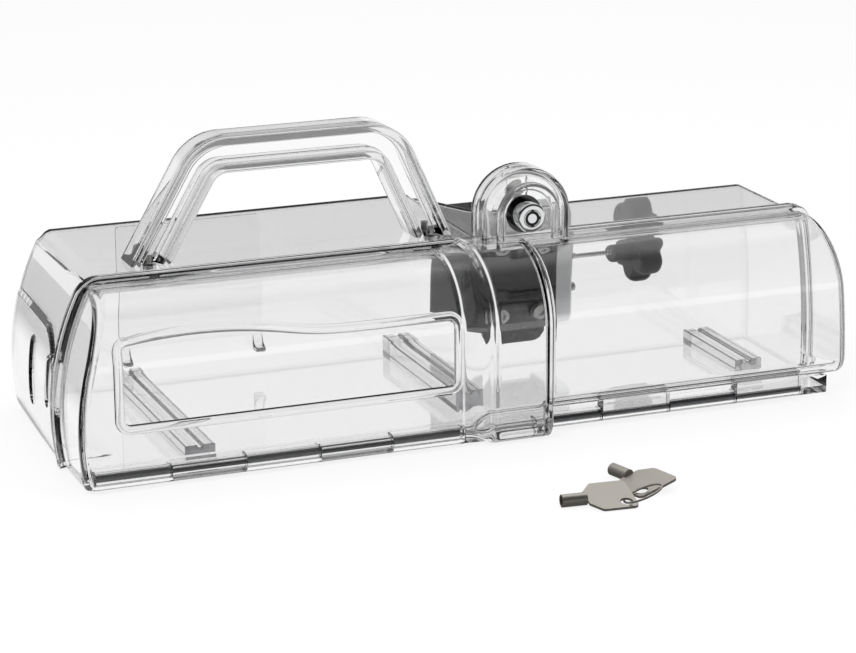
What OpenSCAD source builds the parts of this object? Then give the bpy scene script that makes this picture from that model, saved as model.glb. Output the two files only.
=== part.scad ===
// Clear lock box for an infusion pump: a deep bay and a shallow bay behind one hinged cover.
// The cover is closed by a tubular cam lock. A pole clamp sits in the recess behind the shallow bay.
// X runs along the hinge, Y from the front to the back, Z up. Lengths are in millimetres.
// The origin lies on the underside, under the seam, at the middle of the hinge.

/* [Case] */
// Height of the deep bay's top plate over the table
case_h = 101; // [96:1:106]
// Depth from the seam to the rear wall of the deep bay
deep_d = 122; // [118:1:130]
// Depth from the seam to the rear wall of the shallow bay
shallow_d = 78; // [75:1:79]
// How far the shallow bay's top plate lies under the deep one
shallow_drop = 2.5; // [0.5:0.5:3]
// From the middle of the hinge to the left end of the top plate
left_top = 197.5; // [195:0.5:200]
// From the middle of the hinge to the fullest point of the left end
left_mid = 215.6; // [214:0.2:218]
// From the middle of the hinge to the right end of the top plate
right_top = 228; // [226:1:230]
// From the middle of the hinge to the fullest point of the right end
right_mid = 235; // [234:0.5:238]
// Height of the fullest point of the left end
left_belly = 30; // [26:1:34]
// Height of the fullest point of the right end
right_belly = 20; // [16:1:24]
// How much the left end draws in towards the rear wall
left_draft = 4; // [2:0.5:6]
// Radius of the upright edge between the left end and the rear wall
rear_edge_r = 9; // [6:1:11]
// Thickness of the moulded walls
wall = 3.5; // [3:0.1:4]

/* [Step between the bays] */
// From the middle of the hinge to the centre of the step's outer bend
step_x = 30; // [28:1:31]
// Radius of the two bends of the step
step_r = 9; // [7:1:10]
// Slant of the step wall from straight back
step_lean = 25; // [22:1:28]

/* [Seam] */
// Width of the flange of each shell beside the seam
rim_w = 5; // [4:0.5:6]
// How far the flanges stand proud of the walls
rim_proud = 3; // [2:0.5:3.5]
// Gap between the two shells at the seam
seam_gap = 0.5; // [0.5:0.1:0.8]

/* [Cover] */
// Depth from the seam to the front wall of the cover
front_d = 48.5; // [47.5:0.5:50]
// Radius of the rolled shoulder between the top and the front wall
shoulder_r = 37; // [33:1:38]
// Height of the cover's lower edge over the table, left of the band
skirt_z = 2.3; // [2.2:0.1:2.6]
// Height of the cover's lower edge, right of the band
lip_z = 13.5; // [13:0.5:15]
// Radius of the rolled lower edge right of the band
lip_r = 10; // [9:0.5:11]

/* [Band] */
// From the middle of the hinge to the left foot of the raised band
band_left = -4; // [-6:1:0]
// Width of the slanted left flank of the band
band_flank = 15; // [12:1:17]
// From the middle of the hinge to the right foot of the raised band
band_right = 52; // [50:1:54]
// Width of the steep right flank of the band
band_steep = 3.5; // [2.5:0.5:5]
// How far the band stands proud of the front wall
band_proud = 7; // [6:0.5:8]
// Radius of the band's lower front edge
band_toe_r = 8; // [7:0.5:9]

/* [Window rim] */
// From the middle of the hinge to the left side of the rim
window_left = -197; // [-199:1:-194]
// From the middle of the hinge to the right side of the rim
window_right = -2; // [-8:1:-1]
// Height of the rim's lower edge
window_low = 31; // [28:1:34]
// Height of the rim's upper edge at its right end
window_high = 77; // [74:1:79]
// Rise of the upper edge at the crest of its wave
window_wave = 7.5; // [5:0.5:9]
// Width of the bead of the rim
bead_w = 5; // [4:0.5:6]
// How far the bead stands proud of the cover
bead_proud = 2.2; // [1.5:0.1:2.4]

/* [Hinge] */
// Length of the hinge barrel
hinge_len = 416; // [408:1:417]
// Number of knuckles, shared between the two shells
knuckles = 10; // [8:2:12]
// Radius of the knuckles
knuckle_r = 4; // [3.8:0.1:4.2]
// Radius of the steel pin
pin_r = 1.5; // [1.3:0.1:1.8]
// Height of the hinge axis over the table
hinge_z = 6.3; // [6.3:0.1:6.6]
// Gap between neighbouring knuckles
knuckle_gap = 0.4; // [0.3:0.1:0.6]

/* [Left end] */
// How far the lower part of the left end stands proud
pad_proud = 1.2; // [0.8:0.1:1.6]
// Height of the ledge over the proud part
pad_top = 70; // [66:1:74]
// Depth at which the proud part begins behind the seam
pad_front = 6; // [5:1:10]
// Width of a cable slot
slot_w = 9; // [8:0.5:10]
// Height of the lower end of the rear cable slot
slot_low = 18; // [16:0.5:20]
// Height of the lower end of the front cable slot
front_slot_low = 28; // [26:0.5:32]
// Height of the upper end of a cable slot
slot_high = 57; // [54:1:60]
// Depth of the rear cable slot behind the seam
rear_slot_y = 62; // [58:1:66]
// Depth of the front cable slot behind the seam
front_slot_y = 22; // [20:1:26]

/* [Handle] */
// From the middle of the hinge to the outer side of the left foot
handle_left = -166; // [-168:1:-162]
// From the middle of the hinge to the outer side of the right foot
handle_right = 20; // [16:1:20]
// Height of the handle over the top plate
handle_h = 67; // [62:1:72]
// Width of the handle's bar
bar_w = 20; // [18:0.5:21]
// Thickness of the handle from front to back
handle_t = 23; // [20:1:24]
// Depth of the handle's middle plane behind the seam
handle_y = 33; // [32:1:36]
// Lean of the left leg from level
left_lean = 60; // [58:1:62]
// Lean of the right leg from level
right_lean = 66; // [64:1:68]
// Outer radius of the handle's upper bends
handle_r = 30; // [28:1:32]
// Width of the ribs along the bar's edges
rib_w = 5; // [4.5:0.5:6]
// Thickness of the web between the ribs
web_t = 4; // [3:0.5:5]
// Radius of the handle screws
handle_screw_r = 2; // [1.8:0.1:2.2]

/* [Lock] */
// From the middle of the hinge to the lock's axis
lock_x = 49; // [48:0.5:50]
// Height of the lock's axis over the top plate
lock_rise = 17; // [16:0.5:18]
// Radius of the lock housing
dome_r = 27.5; // [27:0.5:28.5]
// Thickness of the lock housing's walls
dome_wall = 3; // [2.6:0.1:3.2]
// Depth of the cover's half of the lock housing
dome_front = 9; // [8.5:0.5:10]
// Depth of the rear shell's half of the lock housing
dome_rear = 14; // [14:0.5:15]
// Radius of the boss round the lock
boss_r = 20; // [19:0.5:21]
// Height of the boss over the lock housing's front
boss_h = 5; // [4.5:0.5:6]
// Radius of the lock's head
lock_head_r = 8.4; // [8:0.1:8.8]
// Length of the lock's head
lock_head_h = 10; // [9:0.5:11]
// Radius of the lock's threaded barrel
lock_barrel_r = 7; // [6.8:0.1:7.4]
// Radius of the lock's plug
plug_r = 5; // [4.8:0.1:5.2]
// Length of the cam from the lock's axis
cam_len = 18; // [17:0.5:19]
// Width of the cam
cam_w = 9; // [8:0.5:10]
// Thickness of the cam
cam_t = 2.4; // [2:0.1:2.6]

/* [Rails and pump guide] */
// Width of the floor rails
rail_w = 17; // [15:0.5:18]
// Height of the middle rail
rail_h = 12; // [10:0.5:13]
// Height of the two outer rails
low_rail_h = 9; // [8:0.5:10]
// From the middle of the hinge to the left side of the left rail
left_rail_x = -153; // [-156:1:-150]
// From the middle of the hinge to the left side of the middle rail
middle_rail_x = 13; // [10:1:14]
// From the middle of the hinge to the left side of the right rail
right_rail_x = 190; // [186:1:194]
// Length of the left rail in front of the seam
left_rail_front = 24; // [20:1:26]
// Thickness of the pump guide
guide_t = 3; // [2.5:0.1:3.5]
// From the middle of the hinge to the left side of the pump guide
guide_left = -145; // [-148:1:-142]
// Width of the pump guide
guide_w = 79; // [76:1:82]
// Height of the pump guide's lower edge
guide_low = 26; // [24:1:28]

/* [Pole clamp] */
// From the middle of the hinge to the right side of the clamp body
clamp_right = 107; // [106:1:108]
// Height of the clamp's lower edge over the table
clamp_low = 22; // [20:1:24]
// How far the clamp's upper edge lies under the top plate
clamp_under = 8; // [7:1:10]
// From the rear wall of the shallow bay to the spindle's axis
spindle_out = 27; // [26.5:0.5:28]
// How far the spindle's axis lies under the clamp's upper edge
spindle_under = 30; // [28:1:31]
// Radius of the spindle
spindle_r = 2.5; // [2.2:0.1:2.8]
// Thickness of the clamp's back plate
clamp_back = 7; // [6:0.5:7.5]
// Thickness of the grey end plate
end_plate_t = 11; // [10:0.5:12]
// Radius of the star knob
knob_r = 25; // [24:0.5:25.5]
// Thickness of the star knob's lobes
knob_t = 14; // [12:0.5:16]
// Travel of the jaw towards the fixed arm
jaw_travel = 11; // [9:0.5:11]
// Gap that is left between the knob and the end plate at the end of the travel
knob_clear = 25; // [23:1:27]
// Thickness of the moving jaw
jaw_t = 10; // [9:0.5:10.5]

/* [Keys] */
// Length of a key's bow
bow_l = 25; // [24:0.5:26]
// Width of a key's bow
bow_w = 26; // [25:0.5:28]
// Thickness of a key's bow
bow_t = 1.4; // [1.2:0.1:1.6]
// Length of a key's tube in front of its bow
key_tube_l = 13.5; // [13:0.5:15]
// Radius of a key's tube
key_tube_r = 3.4; // [3.2:0.1:3.6]
// Radius of the key ring, to the middle of its wire
ring_r = 10.5; // [10:0.1:11]
// Radius of the key ring's wire
ring_wire_r = 0.6; // [0.5:0.05:0.7]

/* [Hidden] */

$fn = 96;
// Fineness of the two large end arcs
end_fn = 240;
// Segments of an arc in an outline
arc_steps = 10;
// Overrun of cuts past the surface they leave
over = 1;
// Reach of a cut or a limit past the whole case
far = 600;
// Running clearance between a pin or screw and its bore
fit = 0.05;
// Clearance of pieces that move past each other
play = 0.6;
clear_tint = [0.9, 0.93, 0.95, 0.45];

end_rise = case_h - left_belly;
left_sag = left_mid - left_top;
// Radius of the left end, an arc through the top plate's edge and the fullest point
left_r = (end_rise * end_rise + left_sag * left_sag) / (2 * left_sag);
left_cx = left_r - left_mid;
right_rise = case_h - right_belly;
right_sag = right_mid - right_top;
right_r = (right_rise * right_rise + right_sag * right_sag) / (2 * right_sag);
right_cx = right_mid - right_r;
shallow_h = case_h - shallow_drop;
// The slanted part of the step, between its two bends
step_run = (deep_d - shallow_d - 2 * step_r * (1 - sin(step_lean))) / cos(step_lean);
step_x2 = step_x + 2 * step_r * cos(step_lean) + step_run * sin(step_lean);
hinge_y = wall + knuckle_gap + knuckle_r - front_d;
pitch = hinge_len / knuckles;
sill_gap = 1.6;
sill_y = hinge_y + knuckle_r + sill_gap;
sill_h = hinge_z + knuckle_r;
web_drop = 1;
lip_back = hinge_y + knuckle_r;
shoulder_y = shoulder_r - front_d;
lock_z = case_h + lock_rise;
clamp_high = case_h - clamp_under;
spindle_z = clamp_high - spindle_under;
spindle_y = shallow_d + spindle_out;
shoulder_z = case_h - shoulder_r;
rim_top = case_h + rim_proud;

// A cylinder along X from x0 to x1
module along_x(x0, x1, y, z, r) {
    translate([x0, y, z]) rotate([0, 90, 0]) cylinder(h = x1 - x0, r = r);
}

// A cylinder along Y from y0 to y1
module along_y(y0, y1, x, z, r) {
    translate([x, y0, z]) rotate([-90, 0, 0]) cylinder(h = y1 - y0, r = r);
}

// A block between two corners
module block(low, high) {
    translate(low) cube(high - low);
}

// An outline in X and Z carried from y0 to y1
module plate_y(y0, y1, points) {
    translate([0, y1, 0]) rotate([90, 0, 0]) linear_extrude(y1 - y0) polygon(points);
}

// An outline in Y and Z carried from x0 to x1
module plate_x(x0, x1, points) {
    translate([x0, 0, 0]) rotate([90, 0, 90]) linear_extrude(x1 - x0) polygon(points);
}

// An outline in X and Y carried from z0 to z1
module plate_z(z0, z1, points) {
    translate([0, 0, z0]) linear_extrude(z1 - z0) polygon(points);
}

// Points of an arc from angle a0 to a1
function arc(cx, cy, r, a0, a1) =
    [for (i = [0:arc_steps]) let (a = a0 + (a1 - a0) * i / arc_steps) [cx + r * cos(a), cy + r * sin(a)]];

function reverse(list) = [for (i = [len(list) - 1:-1:0]) list[i]];

// A rectangle with round corners, as an outline
function round_box(x0, y0, x1, y1, r) = concat(
    arc(x1 - r, y1 - r, r, 0, 90), arc(x0 + r, y1 - r, r, 90, 180),
    arc(x0 + r, y0 + r, r, 180, 270), arc(x1 - r, y0 + r, r, 270, 360));

// Where the outer face of the step's slant lies at depth y, moved out by g
function step_face(y, g) = step_x + (step_r + g) * cos(step_lean)
    + (deep_d - step_r + (step_r + g) * sin(step_lean) - y) * tan(step_lean);

// Everything inside the right end, drawn in by inset
module right_limit(inset) {
    along_y(-far, far, right_cx, right_belly, right_r - inset, $fn = end_fn);
}

// Everything inside the left end of the cover, drawn in by inset
module left_limit(inset) {
    union() {
        along_y(-far, far, left_cx, left_belly, left_r - inset, $fn = end_fn);
        block([left_cx, -far, -far], [far, far, far]);
    }
}

// The left end of the rear shell, which draws in towards its rounded rear edge
module left_limit_rear(inset) {
    back_r = left_r - left_draft;
    union() {
        translate([left_cx, 0, left_belly]) rotate([90, 0, 0]) mirror([0, 0, 1])
            rotate_extrude($fn = end_fn) polygon(concat(
                [[0, -over], [left_r - inset, -over], [left_r - inset, 0]],
                arc(back_r - rear_edge_r, deep_d - rear_edge_r, rear_edge_r - inset, 0, 90),
                [[0, deep_d - inset]]));
        block([left_cx, -far, -far], [far, far, far]);
    }
}

// Plan of the two bays with the step between them
function plan(inset, front) = concat(
    [[-far, front], [-far, deep_d - inset]],
    arc(step_x, deep_d - step_r, step_r - inset, 90, step_lean),
    arc(step_x2, shallow_d + step_r, step_r + inset, 180 + step_lean, 270),
    [[far, shallow_d - inset], [far, front]]);

module rear_form(inset, front) {
    intersection() {
        union() {
            plate_z(inset, shallow_h - inset, plan(inset, front));
            intersection() {
                plate_z(inset, case_h - inset, plan(inset, front));
                block([-far, -far, 0], [step_x - inset, far, far]);
            }
        }
        left_limit_rear(inset);
        right_limit(inset);
    }
}

// Outline of the window rim, drawn in by inset: its upper edge has a flat crest on the left
window_corner_r = 8;
crest_start_share = 0.42;
crest_run_share = 0.2;
wave_steps = 24;
function wave(s) = 0.5 - 0.5 * cos(180 * max(0, min(1, (s - crest_start_share) / crest_run_share)));
function window_top(x) = window_high + window_wave * wave((window_right - x) / (window_right - window_left));
function window_outline(inset) =
    let (x0 = window_left + window_corner_r, x1 = window_right - window_corner_r, r = window_corner_r - inset)
    concat(
        arc(x0, window_top(x0) - window_corner_r, r, 180, 90),
        [for (i = [1:wave_steps - 1]) let (x = x0 + (x1 - x0) * i / wave_steps) [x, window_top(x) - inset]],
        arc(x1, window_top(x1) - window_corner_r, r, 90, 0),
        arc(x1, window_low + window_corner_r, r, 0, -90),
        arc(x0, window_low + window_corner_r, r, -90, -180));

// Lock housing: a round head on straight flanks that stand on the top plate
module dome_form(y0, y1, r) {
    along_y(y0, y1, lock_x, lock_z, r);
    block([lock_x - r, y0, shallow_h - wall / 2], [lock_x + r, y1, lock_z]);
}

module dome_hollow(y0, y1, r) {
    intersection() {
        along_y(y0, y1, lock_x, lock_z, r);
        block([-far, y0, case_h], [far, y1, far]);
    }
}

// Keyhole-shaped way through the striker plate, open upwards for the cam
striker_t = 2.5;
striker_hole_r = 9;
cam_way = 6.5;
module striker_way() {
    along_y(-over, striker_t + over, lock_x, lock_z, striker_hole_r);
    block([lock_x - cam_way, -over, lock_z],
        [lock_x + cam_way, striker_t + over, lock_z + cam_len + 2 * cam_t]);
}

module rear_rim() {
    intersection() {
        block([-far, 0, 0], [far, rim_w, rim_top]);
        left_limit(-rim_proud);
        right_limit(-rim_proud);
    }
}

// Proud lower part of the left end, with a large round at its upper front corner
pad_round_r = 36;
module end_pad() {
    intersection() {
        plate_x(-far, left_cx, concat([[pad_front, 0]],
            arc(pad_front + pad_round_r, pad_top - pad_round_r, pad_round_r, 180, 90),
            [[deep_d - rear_edge_r, pad_top], [deep_d - rear_edge_r, 0]]));
        left_limit_rear(-pad_proud);
        block([-far, 0, 0], [far, far, far]);
    }
}

module cable_slot(y, low, high) {
    half = slot_w / 2;
    plate_x(-far, left_cx - left_r / 2,
        concat(arc(y, high - half, half, 0, 180), arc(y, low + half, half, 180, 360)));
}

// Floor and sill in front of the seam, inside the cover's ends
module fore_floor() {
    intersection() {
        union() {
            block([-far, sill_y, 0], [far, over, wall]);
            block([-hinge_len / 2 + knuckle_gap, sill_y, 0], [far, sill_y + wall, sill_h]);
        }
        left_limit(wall + play);
        right_limit(wall + play);
    }
}

// Shallow recess in the top plate under the handle
recess_left = -127;
recess_right = -10;
recess_front = 44;
recess_back = 100;
recess_r = 14;
recess_t = 0.8;
module top_recess() {
    plate_z(case_h - recess_t, case_h + over,
        round_box(recess_left, recess_front, recess_right, recess_back, recess_r));
}

function knuckle_x(k) = -hinge_len / 2 + k * pitch + knuckle_gap / 2;
function is_rear(k) = k % 2 == 0;

module knuckle(k) {
    along_x(knuckle_x(k), knuckle_x(k) + pitch - knuckle_gap, hinge_y, hinge_z, knuckle_r);
}

module pin_bore() {
    along_x(-far, far, hinge_y, hinge_z, pin_r + fit);
}

module rear_shell() {
    color(clear_tint)
    difference() {
        union() {
            difference() {
                union() {
                    rear_form(0, 0);
                    rear_rim();
                    end_pad();
                    dome_form(0, dome_rear, dome_r);
                }
                rear_form(wall, -over);
                top_recess();
                dome_hollow(striker_t, dome_rear - dome_wall, dome_r - dome_wall);
                striker_way();
                cable_slot(rear_slot_y, slot_low, slot_high);
                cable_slot(front_slot_y, front_slot_low, slot_high);
                at_handle_screws() cylinder(h = 2 * wall + 2 * over, r = handle_screw_r + fit, center = true);
                at_clamp_screws() cylinder(h = 2 * wall + 2 * over, r = clamp_screw_r + fit, center = true);
            }
            fore_floor();
            for (k = [0:knuckles - 1]) if (is_rear(k)) {
                knuckle(k);
                block([knuckle_x(k), hinge_y, hinge_z - web_drop],
                    [knuckle_x(k) + pitch - knuckle_gap, sill_y + wall / 2, sill_h]);
            }
        }
        pin_bore();
    }
}

// Section of the cover: flat top, rolled shoulder, upright front
module cover_section(inset, low, back) {
    intersection() {
        along_x(-far, far, shoulder_y, shoulder_z, shoulder_r - inset);
        block([-far, -far, low], [far, back, far]);
    }
    block([-far, inset - front_d, low], [far, back, shoulder_z]);
    block([-far, shoulder_y, low], [far, back, case_h - inset]);
}

module left_cover(inset, low, back) {
    intersection() {
        cover_section(inset, low, back);
        block([-far, -far, low], [band_right, back, far]);
    }
}

// Right of the band the front rolls under into a lip over the hinge
module right_cover(inset, back) {
    difference() {
        cover_section(inset, lip_z + inset, back);
        block([-far, -far, -far], [far, lip_r - front_d, lip_z + lip_r]);
    }
    intersection() {
        along_x(-far, far, lip_r - front_d, lip_z + lip_r, lip_r - inset);
        block([-far, -far, -far], [far, lip_r - front_d, lip_z + lip_r]);
    }
}

band_top_share = 0.43;
// Outline of the band at one place: stand is how far it stands proud there
function band_outline(stand, inset, low) = concat(
    [[-seam_gap, low], [-seam_gap, case_h + band_top_share * stand - inset]],
    [for (i = [0:arc_steps]) let (a = 90 + 90 * i / arc_steps)
        [shoulder_y + (shoulder_r + stand - inset) * cos(a),
            shoulder_z + (shoulder_r + band_top_share * stand - inset) * sin(a)]],
    arc(band_toe_r - front_d - stand, low + band_toe_r, band_toe_r - inset, 180, 270));

slice_t = 0.02;
module band_slice(x, stand, inset, low) {
    plate_x(x, x + slice_t, band_outline(stand, inset, low));
}

// How far the band's feet start under the cover's face
band_sink = 0.6;
band_rise = band_proud + band_sink;

// How far a slanted flank's inner face moves along X to keep the wall's thickness
function flank_shift(run) = wall * (norm([run, band_rise]) - run) / band_rise;

module band(inset, left_shift, right_shift, low) {
    hull() {
        band_slice(band_left + left_shift, -band_sink, inset, low);
        band_slice(band_left + band_flank + left_shift, band_proud, inset, low);
        band_slice(band_right - band_steep - right_shift - slice_t, band_proud, inset, low);
        band_slice(band_right - right_shift - slice_t, -band_sink, inset, low);
    }
}

band_low = 0.5;
// The bead of the window rim keeps this far in front of the seam
bead_back = 4.6;
module cover_outside() {
    difference() {
        band(0, 0, 0, band_low);
        block([-far, -front_d - play, -far], [far, far, skirt_z]);
    }
    intersection() {
        union() {
            left_cover(0, skirt_z, -seam_gap);
            right_cover(0, -seam_gap);
            block([band_right - over, lip_back, skirt_z], [far, -seam_gap, lip_z + over]);
        }
        left_limit(0);
        right_limit(0);
    }
    intersection() {
        block([-far, -rim_w, skirt_z], [far, -seam_gap, rim_top]);
        left_limit(-rim_proud);
        right_limit(-rim_proud);
    }
    intersection() {
        left_cover(-bead_proud, skirt_z, -seam_gap);
        plate_y(-far, -bead_back, window_outline(0));
    }
    dome_form(-dome_front, -seam_gap, dome_r);
    along_y(-dome_front - boss_h, -dome_front + over, lock_x, lock_z, boss_r);
}

module window_hollow() {
    intersection() {
        plate_y(-far, 0, window_outline(bead_w));
        difference() {
            left_cover(-bead_proud - over, skirt_z, -seam_gap);
            left_cover(0, skirt_z, -seam_gap);
        }
        block([-far, -far, 0], [band_left, far, far]);
    }
}

module cover_inside() {
    intersection() {
        union() {
            left_cover(wall, -over, over);
            right_cover(wall, over);
            block([-far, lip_back, -over], [far, over, lip_z + wall + over]);
        }
        left_limit(wall);
        right_limit(wall);
    }
    band(wall, flank_shift(band_flank), flank_shift(band_steep), lip_z);
}

boss_wall = 4;
boss_inner_r = boss_r - boss_wall;
module front_cover() {
    color(clear_tint)
    difference() {
        union() {
            difference() {
                cover_outside();
                cover_inside();
                window_hollow();
                dome_hollow(dome_wall - dome_front, over, dome_r - dome_wall);
                dome_hollow(wall - dome_front - boss_h, over, boss_inner_r);
                along_y(-far, over, lock_x, lock_z, lock_barrel_r + fit);
            }
            for (k = [0:knuckles - 1]) if (!is_rear(k)) {
                knuckle(k);
                if (knuckle_x(k) < band_right)
                    block([knuckle_x(k), wall / 2 - front_d, hinge_z - knuckle_r],
                        [knuckle_x(k) + pitch - knuckle_gap, hinge_y, hinge_z + knuckle_r * 3 / 4]);
                else
                    block([knuckle_x(k), hinge_y - knuckle_r, hinge_z],
                        [knuckle_x(k) + pitch - knuckle_gap, hinge_y + knuckle_r, lip_z + wall / 2]);
            }
        }
        pin_bore();
    }
}

module hinge_pin() {
    color("dimgray")
    along_x(knuckle_x(0), knuckle_x(knuckles) - knuckle_gap, hinge_y, hinge_z, pin_r);
}

// Outline of the handle's arch from foot to foot, drawn in by inset, cut off at height low
handle_top = case_h + handle_h;
function arch(inset, low) =
    let (bend_z = handle_top - handle_r, rise = bend_z - case_h)
    concat(
        [[handle_left + inset / sin(left_lean) + (low - case_h) / tan(left_lean), low]],
        arc(handle_left + handle_r / sin(left_lean) + rise / tan(left_lean), bend_z,
            handle_r - inset, 90 + left_lean, 90),
        arc(handle_right - handle_r / sin(right_lean) - rise / tan(right_lean), bend_z,
            handle_r - inset, 90, 90 - right_lean),
        [[handle_right - inset / sin(right_lean) - (low - case_h) / tan(right_lean), low]]);

foot_h = 7;
pocket_t = (handle_t - web_t) / 2;
handle_front = handle_y - handle_t / 2;
handle_back = handle_y + handle_t / 2;
module carry_handle() {
    color(clear_tint)
    difference() {
        plate_y(handle_front, handle_back, concat(arch(0, case_h), reverse(arch(bar_w, case_h))));
        plate_y(handle_front - over, handle_front + pocket_t,
            concat(arch(rib_w, case_h + foot_h), reverse(arch(bar_w - rib_w, case_h + foot_h))));
        plate_y(handle_back - pocket_t, handle_back + over,
            concat(arch(rib_w, case_h + foot_h), reverse(arch(bar_w - rib_w, case_h + foot_h))));
        at_handle_screws() cylinder(h = 2 * handle_screw_in, r = handle_screw_r + fit, center = true);
    }
}

// The handle's screws come up from inside the case, two in each foot
handle_screw_in = 6;
handle_screw_apart = handle_t / 2;
screw_head_share = 1.9;
screw_head_deep = 1.3;
module at_handle_screws() {
    for (x = [handle_left + bar_w / sin(left_lean) / 2, handle_right - bar_w / sin(right_lean) / 2])
        for (side = [-1, 1])
            translate([x, handle_y + side * handle_screw_apart / 2, case_h]) children();
}

// A pan-head screw, its head's seat at the origin and its shank along +Z
module screw(r, shank) {
    head_h = screw_head_deep * r;
    translate([0, 0, -head_h]) difference() {
        cylinder(h = head_h, r = screw_head_share * r);
        translate([0, 0, -over]) cylinder(h = over + head_h / 2, r = r, $fn = 6);
    }
    cylinder(h = shank, r = r);
}

module handle_screws() {
    color("silver")
    at_handle_screws() translate([0, 0, -wall]) screw(handle_screw_r, wall + handle_screw_in - over);
}

groove_w = 3;
groove_t = 1.5;
module rail(x, y0, y1, height) {
    difference() {
        block([x, y0, wall], [x + rail_w, y1, wall + height]);
        block([x + (rail_w - groove_w) / 2, y0 - over, wall + height - groove_t],
            [x + (rail_w + groove_w) / 2, y1 + over, wall + height + over]);
    }
}

module left_rail() {
    color(clear_tint) rail(left_rail_x, -left_rail_front, deep_d - wall - play, low_rail_h);
}

module middle_rail() {
    color(clear_tint) rail(middle_rail_x, 0, deep_d - wall - play, rail_h);
}

module right_rail() {
    color(clear_tint) rail(right_rail_x, rim_w, shallow_d - wall - play, low_rail_h);
}

// Plate on the rear wall with two hooked feet that keep the pump off the wall
guide_under = 1.5;
guide_h = case_h - wall - guide_under - guide_low;
hook_w = 6;
hook_drop = 10;
hook_reach = 6;
module pump_guide() {
    back = deep_d - wall;
    color(clear_tint) {
        block([guide_left, back - guide_t, guide_low], [guide_left + guide_w, back, guide_low + guide_h]);
        for (x = [guide_left, guide_left + guide_w - hook_w]) {
            block([x, back - guide_t, guide_low - hook_drop], [x + hook_w, back, guide_low]);
            block([x, back - guide_t - hook_reach, guide_low - hook_drop],
                [x + hook_w, back - guide_t, guide_low - hook_drop + guide_t]);
        }
    }
}

head_y = -dome_front - boss_h;
plug_face = head_y - lock_head_h;
barrel_end = -2;
module lock_barrel() {
    color("silver")
    difference() {
        union() {
            along_y(plug_face, head_y, lock_x, lock_z, lock_head_r);
            along_y(head_y, barrel_end, lock_x, lock_z, lock_barrel_r);
        }
        along_y(plug_face - over, barrel_end + over, lock_x, lock_z, plug_r + fit);
    }
}

// Plug with the ring-shaped keyway of a tubular lock, and a tail for the cam
keyway_in = 3;
keyway_out = 4.2;
keyway_t = 5;
notch_w = 1.2;
tail_r = 3.5;
cam_gap = 0.7;
tail_end = striker_t + cam_gap;
cam_bore = 2;
module lock_plug() {
    color("lightgray")
    difference() {
        union() {
            along_y(plug_face, barrel_end, lock_x, lock_z, plug_r);
            along_y(barrel_end, tail_end, lock_x, lock_z, tail_r);
        }
        difference() {
            along_y(plug_face - over, plug_face + keyway_t, lock_x, lock_z, keyway_out);
            along_y(plug_face - over, plug_face + keyway_t, lock_x, lock_z, keyway_in);
        }
        block([lock_x - notch_w / 2, plug_face - over, lock_z + keyway_in],
            [lock_x + notch_w / 2, plug_face + keyway_t, lock_z + plug_r + over]);
        along_y(tail_end - keyway_t, tail_end + over, lock_x, lock_z, cam_bore + fit);
    }
}

washer_t = 1;
seat_share = 1.5;
nut_t = 3.2;
nut_seat = wall - dome_front - boss_h;
module lock_washer() {
    color("silver")
    difference() {
        along_y(nut_seat, nut_seat + washer_t, lock_x, lock_z, seat_share * lock_barrel_r);
        along_y(nut_seat - over, nut_seat + washer_t + over, lock_x, lock_z, lock_barrel_r + fit);
    }
}

nut_share = 1.4;
nut_r = nut_share * lock_barrel_r;
module lock_nut() {
    color("silver")
    difference() {
        translate([lock_x, nut_seat + washer_t, lock_z]) rotate([-90, 0, 0])
            cylinder(h = nut_t, r = nut_r, $fn = 6);
        along_y(nut_seat, nut_seat + washer_t + nut_t + over, lock_x, lock_z, lock_barrel_r + fit);
    }
}

module lock_cam() {
    hub = cam_w / 2;
    color("silver")
    difference() {
        union() {
            along_y(tail_end, tail_end + cam_t, lock_x, lock_z, hub);
            block([lock_x - hub, tail_end, lock_z], [lock_x + hub, tail_end + cam_t, lock_z + cam_len - hub]);
            along_y(tail_end, tail_end + cam_t, lock_x, lock_z + cam_len - hub, hub);
        }
        along_y(tail_end - over, tail_end + cam_t + over, lock_x, lock_z, cam_bore + fit);
    }
}

module cam_screw() {
    color("gray")
    translate([lock_x, tail_end + cam_t, lock_z]) rotate([90, 0, 0]) screw(cam_bore, cam_t + keyway_t - over);
}

// The clamp sits in the recess behind the shallow bay
pole_r = 12.5;
pole_x = 79;
// How far the spindle lies behind the pole's middle
spindle_back = 1;
pole_y = spindle_y - spindle_back;
pad_t = 2;
clamp_gap = 1.5;
clamp_reach = 40;
clamp_tip = shallow_d + clamp_reach;
arm_edge_r = 6;
clamp_screw_r = 2.5;
clamp_screw_in = 5.5;
module clamp_form() {
    plate_z(clamp_low, clamp_high, concat(
        [[step_x2, shallow_d], [clamp_right, shallow_d], [clamp_right, shallow_d + clamp_back],
            [pole_x, shallow_d + clamp_back], [pole_x, clamp_tip]],
        arc(step_face(clamp_tip - arm_edge_r, clamp_gap + arm_edge_r), clamp_tip - arm_edge_r,
            arm_edge_r, 90, 180 + step_lean),
        [[step_face(shallow_d + step_r, clamp_gap), shallow_d + step_r]]));
}

module pole_space(r) {
    translate([pole_x, pole_y, clamp_low - over]) cylinder(h = clamp_high - clamp_low + 2 * over, r = r);
}

module clamp_body() {
    color([0.12, 0.12, 0.13])
    difference() {
        clamp_form();
        pole_space(pole_r + pad_t);
        at_clamp_screws()
            cylinder(h = 2 * (clamp_screw_in + over / 2), r = clamp_screw_r + fit, center = true);
        at_end_plate_screws() cylinder(h = 2 * end_screw_in, r = end_screw_r + fit, center = true);
    }
}

module clamp_fixed_pad() {
    color([0.2, 0.2, 0.21])
    difference() {
        intersection() {
            translate([pole_x, pole_y, clamp_low]) cylinder(h = clamp_high - clamp_low, r = pole_r + pad_t);
            block([-far, -far, 0], [pole_x, clamp_tip, far]);
        }
        pole_space(pole_r);
    }
}

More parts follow.
